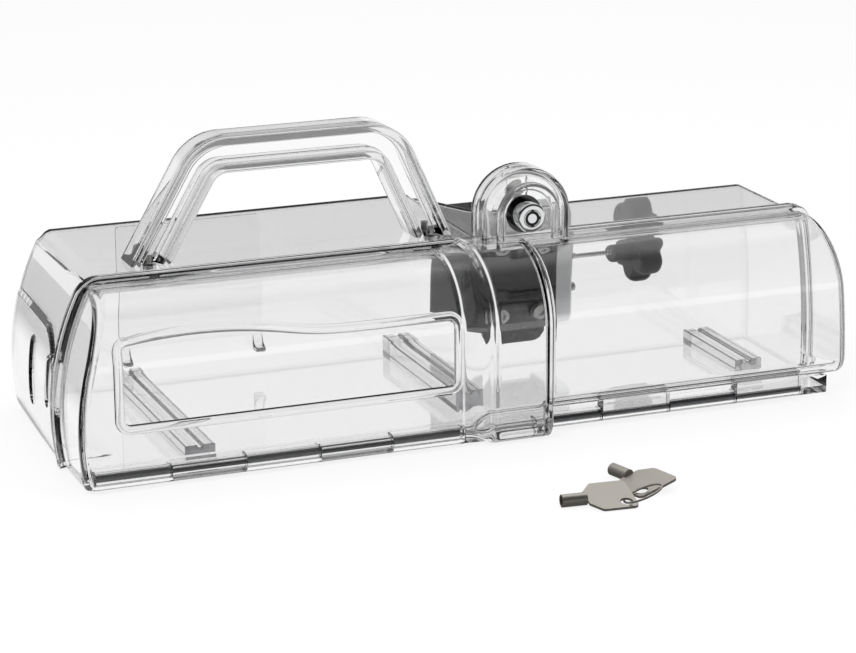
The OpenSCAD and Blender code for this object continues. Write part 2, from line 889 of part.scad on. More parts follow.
// Screws that come from inside the shallow bay into the clamp's back plate
clamp_screw_edge = 12;
clamp_screw_apart = 25;
clamp_screw_x2 = clamp_right - clamp_screw_edge;
clamp_screw_x1 = clamp_screw_x2 - clamp_screw_apart;
module at_clamp_screws() {
    for (x = [clamp_screw_x1, clamp_screw_x2])
        for (z = [clamp_low + clamp_screw_edge, clamp_high - clamp_screw_edge])
            translate([x, shallow_d, z]) rotate([-90, 0, 0]) children();
}

washer_share = 2;
module clamp_washers() {
    color("silver")
    at_clamp_screws() translate([0, 0, -wall - washer_t]) difference() {
        cylinder(h = washer_t, r = washer_share * clamp_screw_r);
        translate([0, 0, -over]) cylinder(h = washer_t + 2 * over, r = clamp_screw_r + fit);
    }
}

module clamp_screws() {
    color("silver")
    at_clamp_screws() translate([0, 0, -wall - washer_t])
        screw(clamp_screw_r, wall + washer_t + clamp_screw_in);
}

end_plate_right = clamp_right + end_plate_t;
end_plate_edge_r = 8;
module clamp_end_plate() {
    color([0.75, 0.76, 0.77])
    difference() {
        plate_x(clamp_right, end_plate_right, concat([[shallow_d, clamp_low]],
            arc(clamp_tip - end_plate_edge_r, clamp_low + end_plate_edge_r, end_plate_edge_r, -90, 0),
            arc(clamp_tip - end_plate_edge_r, clamp_high - end_plate_edge_r, end_plate_edge_r, 0, 90),
            [[shallow_d, clamp_high]]));
        along_x(clamp_right - over, end_plate_right + over, spindle_y, spindle_z, spindle_r + fit);
        at_end_plate_screws() cylinder(h = 2 * end_plate_t + over, r = end_screw_r + fit, center = true);
    }
}

end_screw_r = 1.5;
end_screw_in = 9;
end_screw_edge = 24;
module at_end_plate_screws() {
    for (z = [clamp_low + end_screw_edge, clamp_high - end_screw_edge])
        translate([clamp_right, shallow_d + clamp_back / 2, z]) rotate([0, -90, 0]) children();
}

module end_plate_screws() {
    color("silver")
    at_end_plate_screws() translate([0, 0, -end_plate_t])
        screw(end_screw_r, end_plate_t + end_screw_in - over);
}

// The jaw slides along the back plate, and its pad meets the pole
jaw_half = 23;
jaw_low = spindle_z - jaw_half;
jaw_high = spindle_z + jaw_half;
jaw_pad_left = pole_x + pole_r + play;
jaw_left = jaw_pad_left + pad_t;
jaw_right = jaw_left + jaw_t;
jaw_recess_r = 6;
jaw_recess_t = 4;
module clamp_jaw() {
    color([0.12, 0.12, 0.13])
    difference() {
        block([jaw_left, shallow_d + clamp_back + play / 2, jaw_low], [jaw_right, clamp_tip, jaw_high]);
        along_x(jaw_left - over, jaw_left + jaw_recess_t, spindle_y, spindle_z, jaw_recess_r);
        along_x(jaw_left, jaw_right + over, spindle_y, spindle_z, spindle_r + fit);
    }
}

module clamp_jaw_pad() {
    color([0.2, 0.2, 0.21])
    block([jaw_pad_left, pole_y - pole_r, jaw_low], [jaw_left, clamp_tip, jaw_high]);
}

circlip_t = 1;
circlip_r = 4.6;
module jaw_circlip() {
    seat = jaw_left + jaw_recess_t - fit;
    color("silver")
    difference() {
        along_x(seat - circlip_t, seat, spindle_y, spindle_z, circlip_r);
        along_x(seat - circlip_t - over, seat + over, spindle_y, spindle_z, spindle_r + fit);
        block([seat - circlip_t - over, spindle_y - spindle_r / 2, spindle_z],
            [seat + over, spindle_y + spindle_r / 2, spindle_z + circlip_r + over]);
    }
}

collar_t = 1.2;
collar_r = 4;
hub_l = 12;
hub_r = 9;
hub_left = end_plate_right + jaw_travel + knob_clear;
knob_left = hub_left + hub_l;
knob_right = knob_left + knob_t;
spindle_seat = 6;
module clamp_spindle() {
    color("silver") {
        along_x(jaw_left + over, knob_left + spindle_seat, spindle_y, spindle_z, spindle_r);
        along_x(jaw_right + fit, jaw_right + fit + collar_t, spindle_y, spindle_z, collar_r);
    }
}

// Star knob: a disc with six scallops round its edge, on a hub
lobes = 6;
scallop_r = 8;
scallop_share = 1.1;
cap_r = 8;
cap_t = 1.5;
cap_sink = 1;
module clamp_knob() {
    color([0.1, 0.1, 0.11])
    difference() {
        union() {
            along_x(hub_left, knob_left + over, spindle_y, spindle_z, hub_r);
            along_x(knob_left, knob_right, spindle_y, spindle_z, knob_r);
        }
        for (i = [0:lobes - 1])
            translate([0, spindle_y, spindle_z]) rotate([i * 360 / lobes, 0, 0])
                along_x(knob_left - over, knob_right + over, scallop_share * knob_r, 0, scallop_r);
        along_x(hub_left - over, knob_left + spindle_seat + fit, spindle_y, spindle_z, spindle_r + fit);
        along_x(knob_right - cap_sink, knob_right + over, spindle_y, spindle_z, cap_r + fit);
    }
}

module knob_cap() {
    color([0.25, 0.25, 0.26])
    along_x(knob_right - cap_sink, knob_right - cap_sink + cap_t, spindle_y, spindle_z, cap_r);
}

// A key lies on its tube and on one edge of its bow, so it is rolled a little about the tube
key_roll = asin((key_tube_r - bow_t / 2) / (bow_w / 2));
bow_edge_r = 3;
bow_neck = 7;
key_hole_r = 3.4;
key_hole_edge = 5.4;
tongue_w = 4.4;
tongue_l = 4;
key_bore_r = 2.3;
module key_bow(turn) {
    difference() {
        union() {
            plate_z(-bow_t / 2, bow_t / 2, concat(
                [[key_tube_l, bow_w / 2 - bow_neck], [key_tube_l, bow_neck - bow_w / 2]],
                arc(key_tube_l + bow_neck, bow_edge_r - bow_w / 2, bow_edge_r, 225, 270),
                arc(key_tube_l + bow_l - bow_edge_r, bow_edge_r - bow_w / 2, bow_edge_r, 270, 360),
                arc(key_tube_l + bow_l - bow_edge_r, bow_w / 2 - bow_edge_r, bow_edge_r, 0, 90),
                arc(key_tube_l + bow_neck, bow_w / 2 - bow_edge_r, bow_edge_r, 90, 135)));
            block([key_tube_l - tongue_l, -tongue_w / 2, -bow_t / 2],
                [key_tube_l + over, tongue_w / 2, bow_t / 2]);
        }
        translate([key_tube_l + bow_l - key_hole_edge, turn * (bow_w / 2 - key_hole_edge), -bow_t])
            cylinder(h = 2 * bow_t, r = key_hole_r);
    }
}

module key_tube() {
    difference() {
        along_x(0, key_tube_l, 0, 0, key_tube_r);
        along_x(-over, key_tube_l - tongue_l - over, 0, 0, key_bore_r);
        block([key_tube_l - tongue_l, -tongue_w / 2, -bow_t / 2],
            [key_tube_l + over, tongue_w / 2, bow_t / 2]);
    }
}

// Where the two keys lie in front of the case: place and turn of each
key_1_x = 8.5;
key_1_y = -157;
key_1_turn = -5;
key_2_x = 54;
key_2_y = -121;
key_2_turn = -75;
module key_1_place() {
    translate([key_1_x, key_1_y, key_tube_r]) rotate([0, 0, key_1_turn]) rotate([key_roll, 0, 0]) children();
}

module key_2_place() {
    translate([key_2_x, key_2_y, key_tube_r]) rotate([0, 0, key_2_turn]) rotate([key_roll, 0, 0]) children();
}

module key_1_bow() { color("silver") key_1_place() key_bow(-1); }

module key_1_tube() { color("silver") key_1_place() key_tube(); }

module key_2_bow() { color("silver") key_2_place() key_bow(-1); }

module key_2_tube() { color("silver") key_2_place() key_tube(); }

ring_x = 50.6;
ring_y = -166;
ring_z = 4.9;
ring_tilt = -23;
ring_turn = -32;
module key_ring() {
    color("silver")
    translate([ring_x, ring_y, ring_z]) rotate([0, 0, ring_turn]) rotate([0, ring_tilt, 0])
        rotate_extrude() translate([ring_r, 0]) circle(r = ring_wire_r, $fn = 24);
}

rear_shell();
front_cover();
hinge_pin();
carry_handle();
handle_screws();
left_rail();
middle_rail();
right_rail();
pump_guide();
lock_barrel();
lock_plug();
lock_washer();
lock_nut();
lock_cam();
cam_screw();
clamp_body();
clamp_end_plate();
end_plate_screws();
clamp_fixed_pad();
clamp_jaw();
clamp_jaw_pad();
jaw_circlip();
clamp_spindle();
clamp_knob();
knob_cap();
clamp_screws();
clamp_washers();
key_1_bow();
key_1_tube();
key_2_bow();
key_2_tube();
key_ring();
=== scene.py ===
# %% [markdown]
# # A clear lock box for an infusion pump
# The object is a clear polycarbonate case with a hinged cover, a carry handle, a tubular cam lock and a
# screw clamp for a pole. This lesson dresses the CAD solids of that case: first the helpers, then the
# finishes, then the pieces that deserve a finer mesh than the CAD gives, and last the light and camera.

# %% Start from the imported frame
import bmesh
import bpy
import math
import numpy as np
from mathutils import Matrix, Vector


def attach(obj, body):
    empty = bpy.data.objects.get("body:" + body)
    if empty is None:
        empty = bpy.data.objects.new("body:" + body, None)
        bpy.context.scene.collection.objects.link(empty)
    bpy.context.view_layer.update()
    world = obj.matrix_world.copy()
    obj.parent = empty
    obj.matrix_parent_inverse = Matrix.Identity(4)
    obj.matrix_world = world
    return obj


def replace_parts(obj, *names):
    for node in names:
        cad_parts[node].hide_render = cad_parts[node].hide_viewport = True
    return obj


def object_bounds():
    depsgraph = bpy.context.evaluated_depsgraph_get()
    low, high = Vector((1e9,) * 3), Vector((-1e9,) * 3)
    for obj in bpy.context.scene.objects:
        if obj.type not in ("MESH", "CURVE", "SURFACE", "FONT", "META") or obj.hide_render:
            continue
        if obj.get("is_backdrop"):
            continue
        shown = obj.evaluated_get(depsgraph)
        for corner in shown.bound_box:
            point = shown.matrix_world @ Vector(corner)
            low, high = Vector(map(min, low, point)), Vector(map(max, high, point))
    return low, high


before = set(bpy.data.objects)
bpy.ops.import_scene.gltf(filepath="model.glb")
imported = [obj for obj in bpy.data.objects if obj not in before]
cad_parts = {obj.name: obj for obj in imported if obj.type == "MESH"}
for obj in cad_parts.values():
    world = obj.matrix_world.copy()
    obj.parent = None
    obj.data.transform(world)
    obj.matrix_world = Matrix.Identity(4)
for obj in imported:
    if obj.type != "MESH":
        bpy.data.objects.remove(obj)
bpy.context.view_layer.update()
MM = 0.001

# %% [markdown]
# ## Colours and nodes
# A colour picker shows sRGB values, but the renderer works with linear light. One function turns a hex
# colour into linear light, and one small helper adds a shader node with its settings and links, so that
# each finish below reads as a short list.

# %% Helpers for finishes
def linear(hex_colour):
    """sRGB hex to linear light: each channel c becomes c/12.92 below 0.04045, else ((c+0.055)/1.055)^2.4."""
    c = np.array([int(hex_colour[i:i + 2], 16) for i in (1, 3, 5)]) / 255
    return (*np.where(c <= 0.04045, c / 12.92, ((c + 0.055) / 1.055) ** 2.4), 1.0)


def add_node(tree, kind, settings=None, **inputs):
    """Adds a node, sets its properties and fills its inputs. An input goes by its name, with _ for a space,
    or by n and its number. It takes a value, an output, or a node, which stands for its first output."""
    made = tree.nodes.new(kind)
    for name, value in (settings or {}).items():
        setattr(made, name, value)
    for name, value in inputs.items():
        numbered = name[0] == "n" and name[1:].isdigit()
        socket = made.inputs[int(name[1:]) if numbered else name.replace("_", " ")]
        if isinstance(value, bpy.types.Node):
            value = value.outputs[0]
        if isinstance(value, bpy.types.NodeSocket):
            tree.links.new(value, socket)
        else:
            socket.default_value = value
    return made


def new_finish(name):
    """A material with an empty node tree."""
    made = bpy.data.materials.new(name)
    made.use_nodes = True
    made.node_tree.nodes.clear()
    return made, made.node_tree


# %% [markdown]
# ## Clear polycarbonate
# The case is injection-moulded polycarbonate, clear as glass. Its index of refraction is about 1.585, so
# wherever the wall turns edge-on, the light bends a long way and the edge looks grey or dark. The mould
# leaves a very faint unevenness, which shows as a slight wobble in the reflections. A dielectric shader on
# walls with their real thickness gives all of this; a see-through blend would not. The plastic also takes a
# little of the light on its way: across a wall that can't be seen, but light that is guided along one from
# edge to edge turns grey, so the volume has a weak absorption.

# %% Finish for the clear plastic
PC_IOR, LOSS_PER_M = 1.585, 10.0


def clear_polycarbonate(name, tint, guided, roughness, wobble_mm):
    """Dielectric with the index of polycarbonate, and noise of the given size as a faint bump. A path of d
    metres lets through exp(-LOSS_PER_M (1 - c) d) of each channel c of the guided light's colour."""
    made, tree = new_finish(name)
    place = add_node(tree, "ShaderNodeTexCoord").outputs["Object"]
    wobble = add_node(tree, "ShaderNodeTexNoise", Vector=place, Scale=1 / (wobble_mm * MM), Detail=1.5,
                      Roughness=0.4)
    bump = add_node(tree, "ShaderNodeBump", Strength=0.12, Distance=0.25 * MM, Height=wobble)
    plastic = add_node(tree, "ShaderNodeBsdfPrincipled", Base_Color=linear(tint), Roughness=roughness,
                       IOR=PC_IOR, Transmission_Weight=1.0, Normal=bump)
    loss = add_node(tree, "ShaderNodeVolumeAbsorption", Color=linear(guided), Density=LOSS_PER_M)
    add_node(tree, "ShaderNodeOutputMaterial", Surface=plastic, Volume=loss)
    return made


case_clear = clear_polycarbonate("clear_polycarbonate", "#FFFFFF", "#88898D", 0.012, 45)
print("made", case_clear.name)

# %% [markdown]
# ## The opaque finishes
# Black glass-filled nylon for the clamp, rubber for its pads, satin anodised aluminium for the end plate,
# bright zinc-plated steel for screws, chrome plate for the lock and brushed nickel plate for the keys. Each
# has a base colour that varies a little over a few millimetres and a fine grain in its roughness and bump.
# On the aluminium and the nickel the noise is stretched, because brushing draws the grain out in lines.

# %% Finishes for moulded, cast and plated parts
def grained(name, colour_a, colour_b, metallic, rough_a, rough_b, patch_mm, grain_mm, bump_mm, specular=0.5,
            stretch=(1, 1, 1)):
    """Two colours and two roughnesses mixed by a soft noise, with a fine noise as bump."""
    made, tree = new_finish(name)
    place = add_node(tree, "ShaderNodeTexCoord").outputs["Object"]
    spread = add_node(tree, "ShaderNodeMapping", Vector=place, Scale=stretch)
    patches = add_node(tree, "ShaderNodeTexNoise", Vector=spread, Scale=1 / (patch_mm * MM), Detail=3,
                       Roughness=0.55)
    colour = add_node(tree, "ShaderNodeMix", {"data_type": "RGBA"}, Factor=patches, n6=linear(colour_a),
                      n7=linear(colour_b)).outputs[2]
    rough = add_node(tree, "ShaderNodeMapRange", Value=patches, n3=rough_a, n4=rough_b)
    grain = add_node(tree, "ShaderNodeTexNoise", Vector=spread, Scale=1 / (grain_mm * MM), Detail=2,
                     Roughness=0.6)
    bump = add_node(tree, "ShaderNodeBump", Strength=0.5, Distance=bump_mm * MM, Height=grain)
    surface = add_node(tree, "ShaderNodeBsdfPrincipled", Base_Color=colour, Roughness=rough,
                       Metallic=metallic, Normal=bump)
    if metallic == 0:
        surface.inputs["Specular IOR Level"].default_value = specular
    add_node(tree, "ShaderNodeOutputMaterial", Surface=surface)
    return made


black_nylon = grained("black_nylon", "#0B0C0D", "#121314", 0, 0.38, 0.5, 6, 0.8, 0.02, specular=0.25)
# black_rubber also makes the painted shade inside the lock's keyway.
black_rubber = grained("black_rubber", "#1B1B1C", "#242425", 0, 0.7, 0.85, 5, 0.6, 0.02, specular=0.3)
satin_aluminium = grained("satin_aluminium", "#E4E5E6", "#ECEDEE", 1, 0.26, 0.36, 8, 0.5, 0.004,
                          stretch=(1, 8, 1))
bright_steel = grained("bright_steel", "#B4B4B2", "#C4C4C3", 1, 0.18, 0.28, 4, 0.6, 0.002)
dark_steel = grained("dark_steel", "#6E6F72", "#7C7D80", 1, 0.3, 0.42, 4, 0.6, 0.002)
chrome_plate = grained("chrome_plate", "#D9DADB", "#E2E3E4", 1, 0.05, 0.1, 10, 1.5, 0.0005)
nickel_plate = grained("nickel_plate", "#D2CDC4", "#E0DBD3", 1, 0.42, 0.5, 3, 0.35, 0.004, stretch=(9, 1, 9))

# %% Which finish goes on which CAD node
WORN_BY = {
    case_clear: "rear_shell front_cover carry_handle left_rail middle_rail right_rail pump_guide",
    dark_steel: "hinge_pin jaw_circlip cam_screw",
    bright_steel: "handle_screws end_plate_screws clamp_screws clamp_washers clamp_spindle lock_washer "
                  "lock_nut lock_cam",
    chrome_plate: "lock_barrel lock_plug",
    black_nylon: "clamp_body clamp_jaw clamp_knob knob_cap",
    black_rubber: "clamp_fixed_pad clamp_jaw_pad",
    satin_aluminium: "clamp_end_plate",
    nickel_plate: "key_1_bow key_2_bow key_1_tube key_2_tube key_ring",
}
for finish, names in WORN_BY.items():
    for name in names.split():
        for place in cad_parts[name].material_slots:
            place.material = finish
    print(finish.name, "on", names)

# %% [markdown]
# ## Grids and sweeps
# Every new piece is a surface worked out with numpy. Two shapes cover nearly all of them: a grid of points
# over two parameters, and a rounded profile carried along a path. The mesh takes the whole array at once.

# %% Mesh from a grid of points
def grid_faces(rows, columns, wrap_rows=False, wrap_columns=False):
    """Quads between neighbours of a grid: corner (i, j) is vertex i * columns + j."""
    i = np.arange(rows if wrap_rows else rows - 1)[:, None]
    j = np.arange(columns if wrap_columns else columns - 1)[None, :]
    down, right = (i + 1) % rows, (j + 1) % columns
    quads = np.stack(np.broadcast_arrays(i * columns + j, down * columns + j, down * columns + right,
                                         i * columns + right), -1)
    return quads.reshape(-1, 4)


def piece_from(name, points, faces, finish=None):
    """Puts points in mm and quads into a mesh, merges doubled points, and turns all faces outwards."""
    mesh = bpy.data.meshes.new(name)
    mesh.vertices.add(len(points))
    mesh.vertices.foreach_set("co", (np.asarray(points, float) * MM).ravel())
    mesh.loops.add(faces.size)
    mesh.loops.foreach_set("vertex_index", faces.ravel())
    mesh.polygons.add(len(faces))
    mesh.polygons.foreach_set("loop_start", np.arange(len(faces)) * faces.shape[1])
    mesh.update(calc_edges=True)
    made = bpy.data.objects.new(name, mesh)
    bpy.context.scene.collection.objects.link(made)
    work = bmesh.new()
    work.from_mesh(mesh)
    bmesh.ops.remove_doubles(work, verts=work.verts, dist=0.002 * MM)
    bmesh.ops.dissolve_degenerate(work, edges=work.edges, dist=0.001 * MM)
    bmesh.ops.recalc_face_normals(work, faces=work.faces)
    work.to_mesh(mesh)
    work.free()
    if finish is not None:
        mesh.materials.append(finish)
    mesh.shade_smooth()
    return made


def open_grid(name, grid, finish=None, wrap_rows=False, wrap_columns=False):
    """A piece from an array of shape rows x columns x 3."""
    rows, columns = grid.shape[:2]
    return piece_from(name, grid.reshape(-1, 3), grid_faces(rows, columns, wrap_rows, wrap_columns), finish)


def capped(grid):
    """The grid with one more row at each end, all on the mean of the end row, which closes it."""
    caps = [np.broadcast_to(grid[k].mean(0), grid[k].shape)[None] for k in (0, -1)]
    return np.concatenate([caps[0], grid, caps[1]])


# %% Arcs, outlines and sweeps
def arc_points(cx, cy, r, start, end, count):
    """Points (cx + r cos a, cy + r sin a) for count angles from start to end, in degrees."""
    a = np.radians(np.linspace(start, end, count))
    return np.stack([cx + r * np.cos(a), cy + r * np.sin(a)], -1)


def bend(a, b, c, count):
    """Short curve from a to c that b pulls: (1-t)^2 a + 2t(1-t) b + t^2 c."""
    t = np.linspace(0, 1, count)[:, None]
    return (1 - t) ** 2 * np.asarray(a) + 2 * t * (1 - t) * np.asarray(b) + t ** 2 * np.asarray(c)


def round_outline(low, high, r, count=6):
    """Closed rectangle with round corners in the plane, as points counter-clockwise."""
    (x0, y0), (x1, y1) = low, high
    corners = ((x1 - r, y0 + r, -90), (x1 - r, y1 - r, 0), (x0 + r, y1 - r, 90), (x0 + r, y0 + r, 180))
    return np.concatenate([arc_points(cx, cy, r, a, a + 90, count) for cx, cy, a in corners])


def soft_corners(points, r, count=4):
    """Closed outline with each corner replaced by a bend that starts r away from it, less on short edges."""
    points = np.asarray(points, float)
    made = []
    for a, b, c in zip(np.roll(points, 1, 0), points, np.roll(points, -1, 0)):
        start, end = [b + (p - b) * min(r / np.linalg.norm(p - b), 0.45) for p in (a, c)]
        made.append(bend(start, b, end, count))
    return np.concatenate(made)


def sweep(path, profile, side, up, closed=False):
    """Grid of path(i) + profile(j).x * side(i) + profile(j).y * up(i). An open sweep is capped."""
    grid = path[:, None] + profile[None, :, :1] * side[:, None] + profile[None, :, 1:] * up[:, None]
    return grid if closed else capped(grid)


def tangents(path, closed=False):
    """Unit direction of a path at each of its points, from the two neighbours."""
    if closed:
        d = np.roll(path, -1, 0) - np.roll(path, 1, 0)
    else:
        d = np.gradient(path, axis=0)
    return d / np.linalg.norm(d, axis=1, keepdims=True)


def smooth_step(t):
    """3t^2 - 2t^3 of t held between 0 and 1: a rise with level ends."""
    t = np.clip(t, 0, 1)
    return t * t * (3 - 2 * t)


# %% Joining pieces and handing them over
SHARP_FROM = math.radians(38)


def apply_modifiers(piece):
    """Replaces a piece's mesh by its evaluated one, so that nothing is left live."""
    graph = bpy.context.evaluated_depsgraph_get()
    mesh = bpy.data.meshes.new_from_object(piece.evaluated_get(graph))
    old, piece.data = piece.data, mesh
    piece.modifiers.clear()
    bpy.data.meshes.remove(old)
    return piece


def join_solids(base, others, operation):
    """Boolean of closed pieces, one after the other; the others are used up."""
    for other in others:
        made = base.modifiers.new("cut", "BOOLEAN")
        made.object, made.operation, made.solver = other, operation, "MANIFOLD"
        apply_modifiers(base)
        bpy.data.objects.remove(other)
    return base


def settle(piece, body, node=None):
    """Shades a finished piece and hands it to the frame. Edges from 38 degrees on are sharp, and a corner's
    normal is the mean of its faces by their area, so that a flat face beside a round edge stays flat."""
    piece.data.shade_smooth()
    piece.data.set_sharp_from_angle(angle=SHARP_FROM)
    made = piece.modifiers.new("normals", "WEIGHTED_NORMAL")
    made.mode, made.weight, made.keep_sharp = "FACE_AREA", 100, True
    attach(apply_modifiers(piece), body)
    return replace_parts(piece, node) if node else piece


print("helpers ready")

# %% [markdown]
# ## The case's own sizes
# These are the sizes of the real case in millimetres, the same as in the CAD, so that each skin lies on its
# solid. The ends are large arcs, the top rolls into the front, and a band stands proud of the cover.

# %% Sizes and the two end arcs
CASE_H, SHALLOW_H, WALL = 101.0, 98.5, 3.5
DEEP_D, SHALLOW_D = 122.0, 78.0
FRONT_D, SHOULDER_R = 48.5, 37.0
SHOULDER_Y, SHOULDER_Z = SHOULDER_R - FRONT_D, CASE_H - SHOULDER_R
LEFT_R, LEFT_CX, LEFT_Z = 148.3, -67.3, 30.0
RIGHT_R, RIGHT_CX, RIGHT_Z = 472.1, -237.1, 20.0
HINGE_Y, HINGE_Z, KNUCKLE_R, PIN_R = -40.6, 6.3, 4.0, 2.0
PITCH, HINGE_LEN, KNUCKLE_GAP = 41.6, 416.0, 0.4
SKIRT_Z, LIP_Z, LIP_R, LIP_END_Y = 2.3, 13.5, 10.0, -36.6
BAND_X = (-2.0, 14.0, 48.5, 52.0)
BAND_PROUD, BAND_RISE, BAND_TOE_R, BAND_LOW, BAND_END_Y = 7.0, 0.43, 8.0, 0.5, -45.0
DOME_X, DOME_Z, DOME_R, DOME_WALL, BOSS_R = 52.0, 116.4, 26.2, 3.0, 19.0
LOCK_AT = (49.0, 118.0)
SEAM_GAP, RIM_W, RIM_PROUD, END_EDGE_R = 0.5, 5.0, 3.0, 5.0


def left_end(z, inset=0):
    """X at height z on the left end's large arc, or inset mm inside it."""
    return LEFT_CX - np.sqrt((LEFT_R - inset) ** 2 - (z - LEFT_Z) ** 2)


def right_end(z, inset=0):
    """X at height z on the right end's large arc, or inset mm inside it."""
    return RIGHT_CX + np.sqrt((RIGHT_R - inset) ** 2 - (z - RIGHT_Z) ** 2)


print("length along the top", round(float(right_end(CASE_H) - left_end(CASE_H)), 1), "mm")

# %% [markdown]
# ## The cover's skin
# The cover is one moulded wall. Its section across X is a flat top, a rolled shoulder, an upright front and a
# foot; the section changes along X where the band stands out and where the foot rolls under. So the skin is a
# grid: section points down, X across. At each end the section shrinks round a small edge radius and then
# closes towards the rear lower corner, which makes the end wall. The inner skin is the same function drawn in
# by the wall, and the two are one closed grid.

# %% Section of the cover at one X
INNER_SHIFT = (0.7, 0.7, -3.0, -2.2)
SLANT_SOFT, STEEP_SOFT = 1.6, 1.0
TOP_ROWS, ROLL_ROWS, FRONT_ROWS, TOE_ROWS, FOOT_ROWS = 7, 30, 16, 10, 4
FRONT_FROM = TOP_ROWS - 1 + ROLL_ROWS - 1
RIDGES = ((13.4, 2.3, 1.1), (47.6, 1.5, 0.8))
CREASE = (-2.6, 1.1, 0.5)
RIDGE_FADE = (1.0, 8.0)


def band_share(x, inner):
    """0 off the band, 1 on it: a ramp up the slanted flank and down the steep one, with soft corners.
    The inner ramps lie further in, so that the flanks keep their wall."""
    a, b, c, d = np.add(BAND_X, INNER_SHIFT) if inner else BAND_X

    def ramp(start, end, soft):
        return np.mean([np.clip((x - start - s) / (end - start), 0, 1) for s in np.linspace(-soft, soft, 9)])
    return ramp(a, b, SLANT_SOFT) - ramp(c, d, STEEP_SOFT)


def foot_section(stand, toe_r, low, end_y):
    """Section from the seam to the foot: level top, quarter arc, upright front, toe arc, level foot."""
    r, rise, face = SHOULDER_R + stand, SHOULDER_R + BAND_RISE * stand, -FRONT_D - stand
    top = np.stack([np.linspace(-SEAM_GAP, SHOULDER_Y, TOP_ROWS), np.full(TOP_ROWS, SHOULDER_Z + rise)], -1)
    a = np.radians(np.linspace(90, 180, ROLL_ROWS))
    roll = np.stack([SHOULDER_Y + r * np.cos(a), SHOULDER_Z + rise * np.sin(a)], -1)
    front = np.stack([np.full(FRONT_ROWS, face), np.linspace(SHOULDER_Z, low + toe_r, FRONT_ROWS)], -1)
    toe = arc_points(face + toe_r, low + toe_r, toe_r, 180, 270, TOE_ROWS)
    foot = np.stack([np.linspace(face + toe_r, end_y, FOOT_ROWS), np.full(FOOT_ROWS, low)], -1)
    return np.concatenate([top[:-1], roll[:-1], front[:-1], toe[:-1], foot])


def straight_section():
    """Section left of the band: the front runs straight down to the skirt."""
    made = foot_section(0, LIP_R, LIP_Z, LIP_END_Y)
    made[FRONT_FROM:, 0] = -FRONT_D
    made[FRONT_FROM:, 1] = np.linspace(SHOULDER_Z, SKIRT_Z, len(made) - FRONT_FROM)
    return made


def inwards(section):
    """Unit vectors across a section, pointing into the case."""
    d = np.gradient(section, axis=0)
    d /= np.linalg.norm(d, axis=1, keepdims=True)
    return np.stack([-d[:, 1], d[:, 0]], -1)


def swell(x, middle, width, height):
    """Height at x of a low rounded line: height exp(-((x - middle) / width)^2)."""
    return height * np.exp(-((x - middle) / width) ** 2)


def cover_section(x, inset):
    """Mix of the plain section on that side of the band and the band's own, drawn in by inset. Outside, the
    band's two ridges carry a low bead, which fades out above its foot, and a crease runs along its left."""
    plain = straight_section() if x < np.mean(BAND_X) else foot_section(0, LIP_R, LIP_Z, LIP_END_Y)
    raised = foot_section(BAND_PROUD, BAND_TOE_R, LIP_Z if inset else BAND_LOW, BAND_END_Y)
    bead = crease = 0
    if not inset:
        start, length = RIDGE_FADE
        bead = sum(swell(x, *ridge) for ridge in RIDGES) * smooth_step((raised[:, 1:] - start) / length)
        crease = swell(x, *CREASE)
    w = band_share(x, inset > 0)
    off_band = plain + (inset - crease) * inwards(plain)
    on_band = raised + (inset - bead) * inwards(raised)
    mixed = (1 - w) * off_band + w * on_band
    mixed[0, 0] = -SEAM_GAP
    return mixed


def end_columns(x, side, inset, corner):
    """Columns that close one end: a quarter round of the edge radius, then a fan towards the corner."""
    section, edge_r = cover_section(x, inset), max(END_EDGE_R - inset, 1.2)
    inward = inwards(section)
    inward[0] = 0, -1
    wall_x = left_end if side < 0 else right_end
    rings = [(section + inward * edge_r * (1 - np.cos(a)), edge_r * (1 - np.sin(a)))
             for a in np.radians(np.linspace(0, 90, 7))]
    rim = section + inward * edge_r
    rings += [(rim + (corner - rim) * t, 0) for t in np.linspace(0, 1, 14)[1:]]
    return [np.column_stack([wall_x(p[:, 1]) - side * (inset + back), p]) for p, back in rings]


print("the band takes", round(float(band_share(40, False)), 2), "of the section at x = 40")


# %% Skin of the cover
def stretches(*parts):
    """Places along X. Each part is (first, last, how many), and lies closer where the shape turns."""
    return np.concatenate([np.linspace(*part) for part in parts])


across = stretches((-188, -6, 46), (-5, 18, 58), (19, 36, 14), (37, 44, 12), (44.5, 54.5, 51), (56, 220, 40))


def cover_skin(inset):
    """Grid of the whole skin: left end, middle, right end."""
    middle = []
    for x in across:
        section = cover_section(x, inset)
        middle.append(np.column_stack([np.full(len(section), x), section]))
    left = end_columns(across[0] - 12, -1, inset, np.array([-SEAM_GAP, SKIRT_Z]))
    right = end_columns(across[-1] + 10, 1, inset, np.array([-SEAM_GAP, LIP_Z]))
    return np.stack(left[::-1] + middle + right, axis=1)


cover = open_grid("cover_moulding", np.concatenate([cover_skin(0), cover_skin(WALL)[::-1]]), case_clear,
                  wrap_rows=True)
print("cover skin", len(cover.data.polygons), "faces")

# %% [markdown]
# ## Prisms with round edges
# Bosses, knuckles, lugs and cutters are all an outline carried along one axis, with a small radius at both
# ends. The outline is drawn in along a quarter circle at each end, and each end closes on its middle.

# %% Outline carried along an axis
AXES = {"x": (0, 1, 2), "y": (1, 0, 2), "z": (2, 0, 1)}


def draw_in(outline, distance):
    """Closed outline moved inwards by distance, along the mean of each corner's two edge normals."""
    before, after = outline - np.roll(outline, 1, 0), np.roll(outline, -1, 0) - outline
    n = [np.stack([-d[:, 1], d[:, 0]], -1) / np.maximum(np.linalg.norm(d, axis=1, keepdims=True), 1e-9)
         for d in (before, after)]
    mean = n[0] + n[1]
    return outline + distance * 2 * mean / np.maximum((mean ** 2).sum(1, keepdims=True), 0.5)


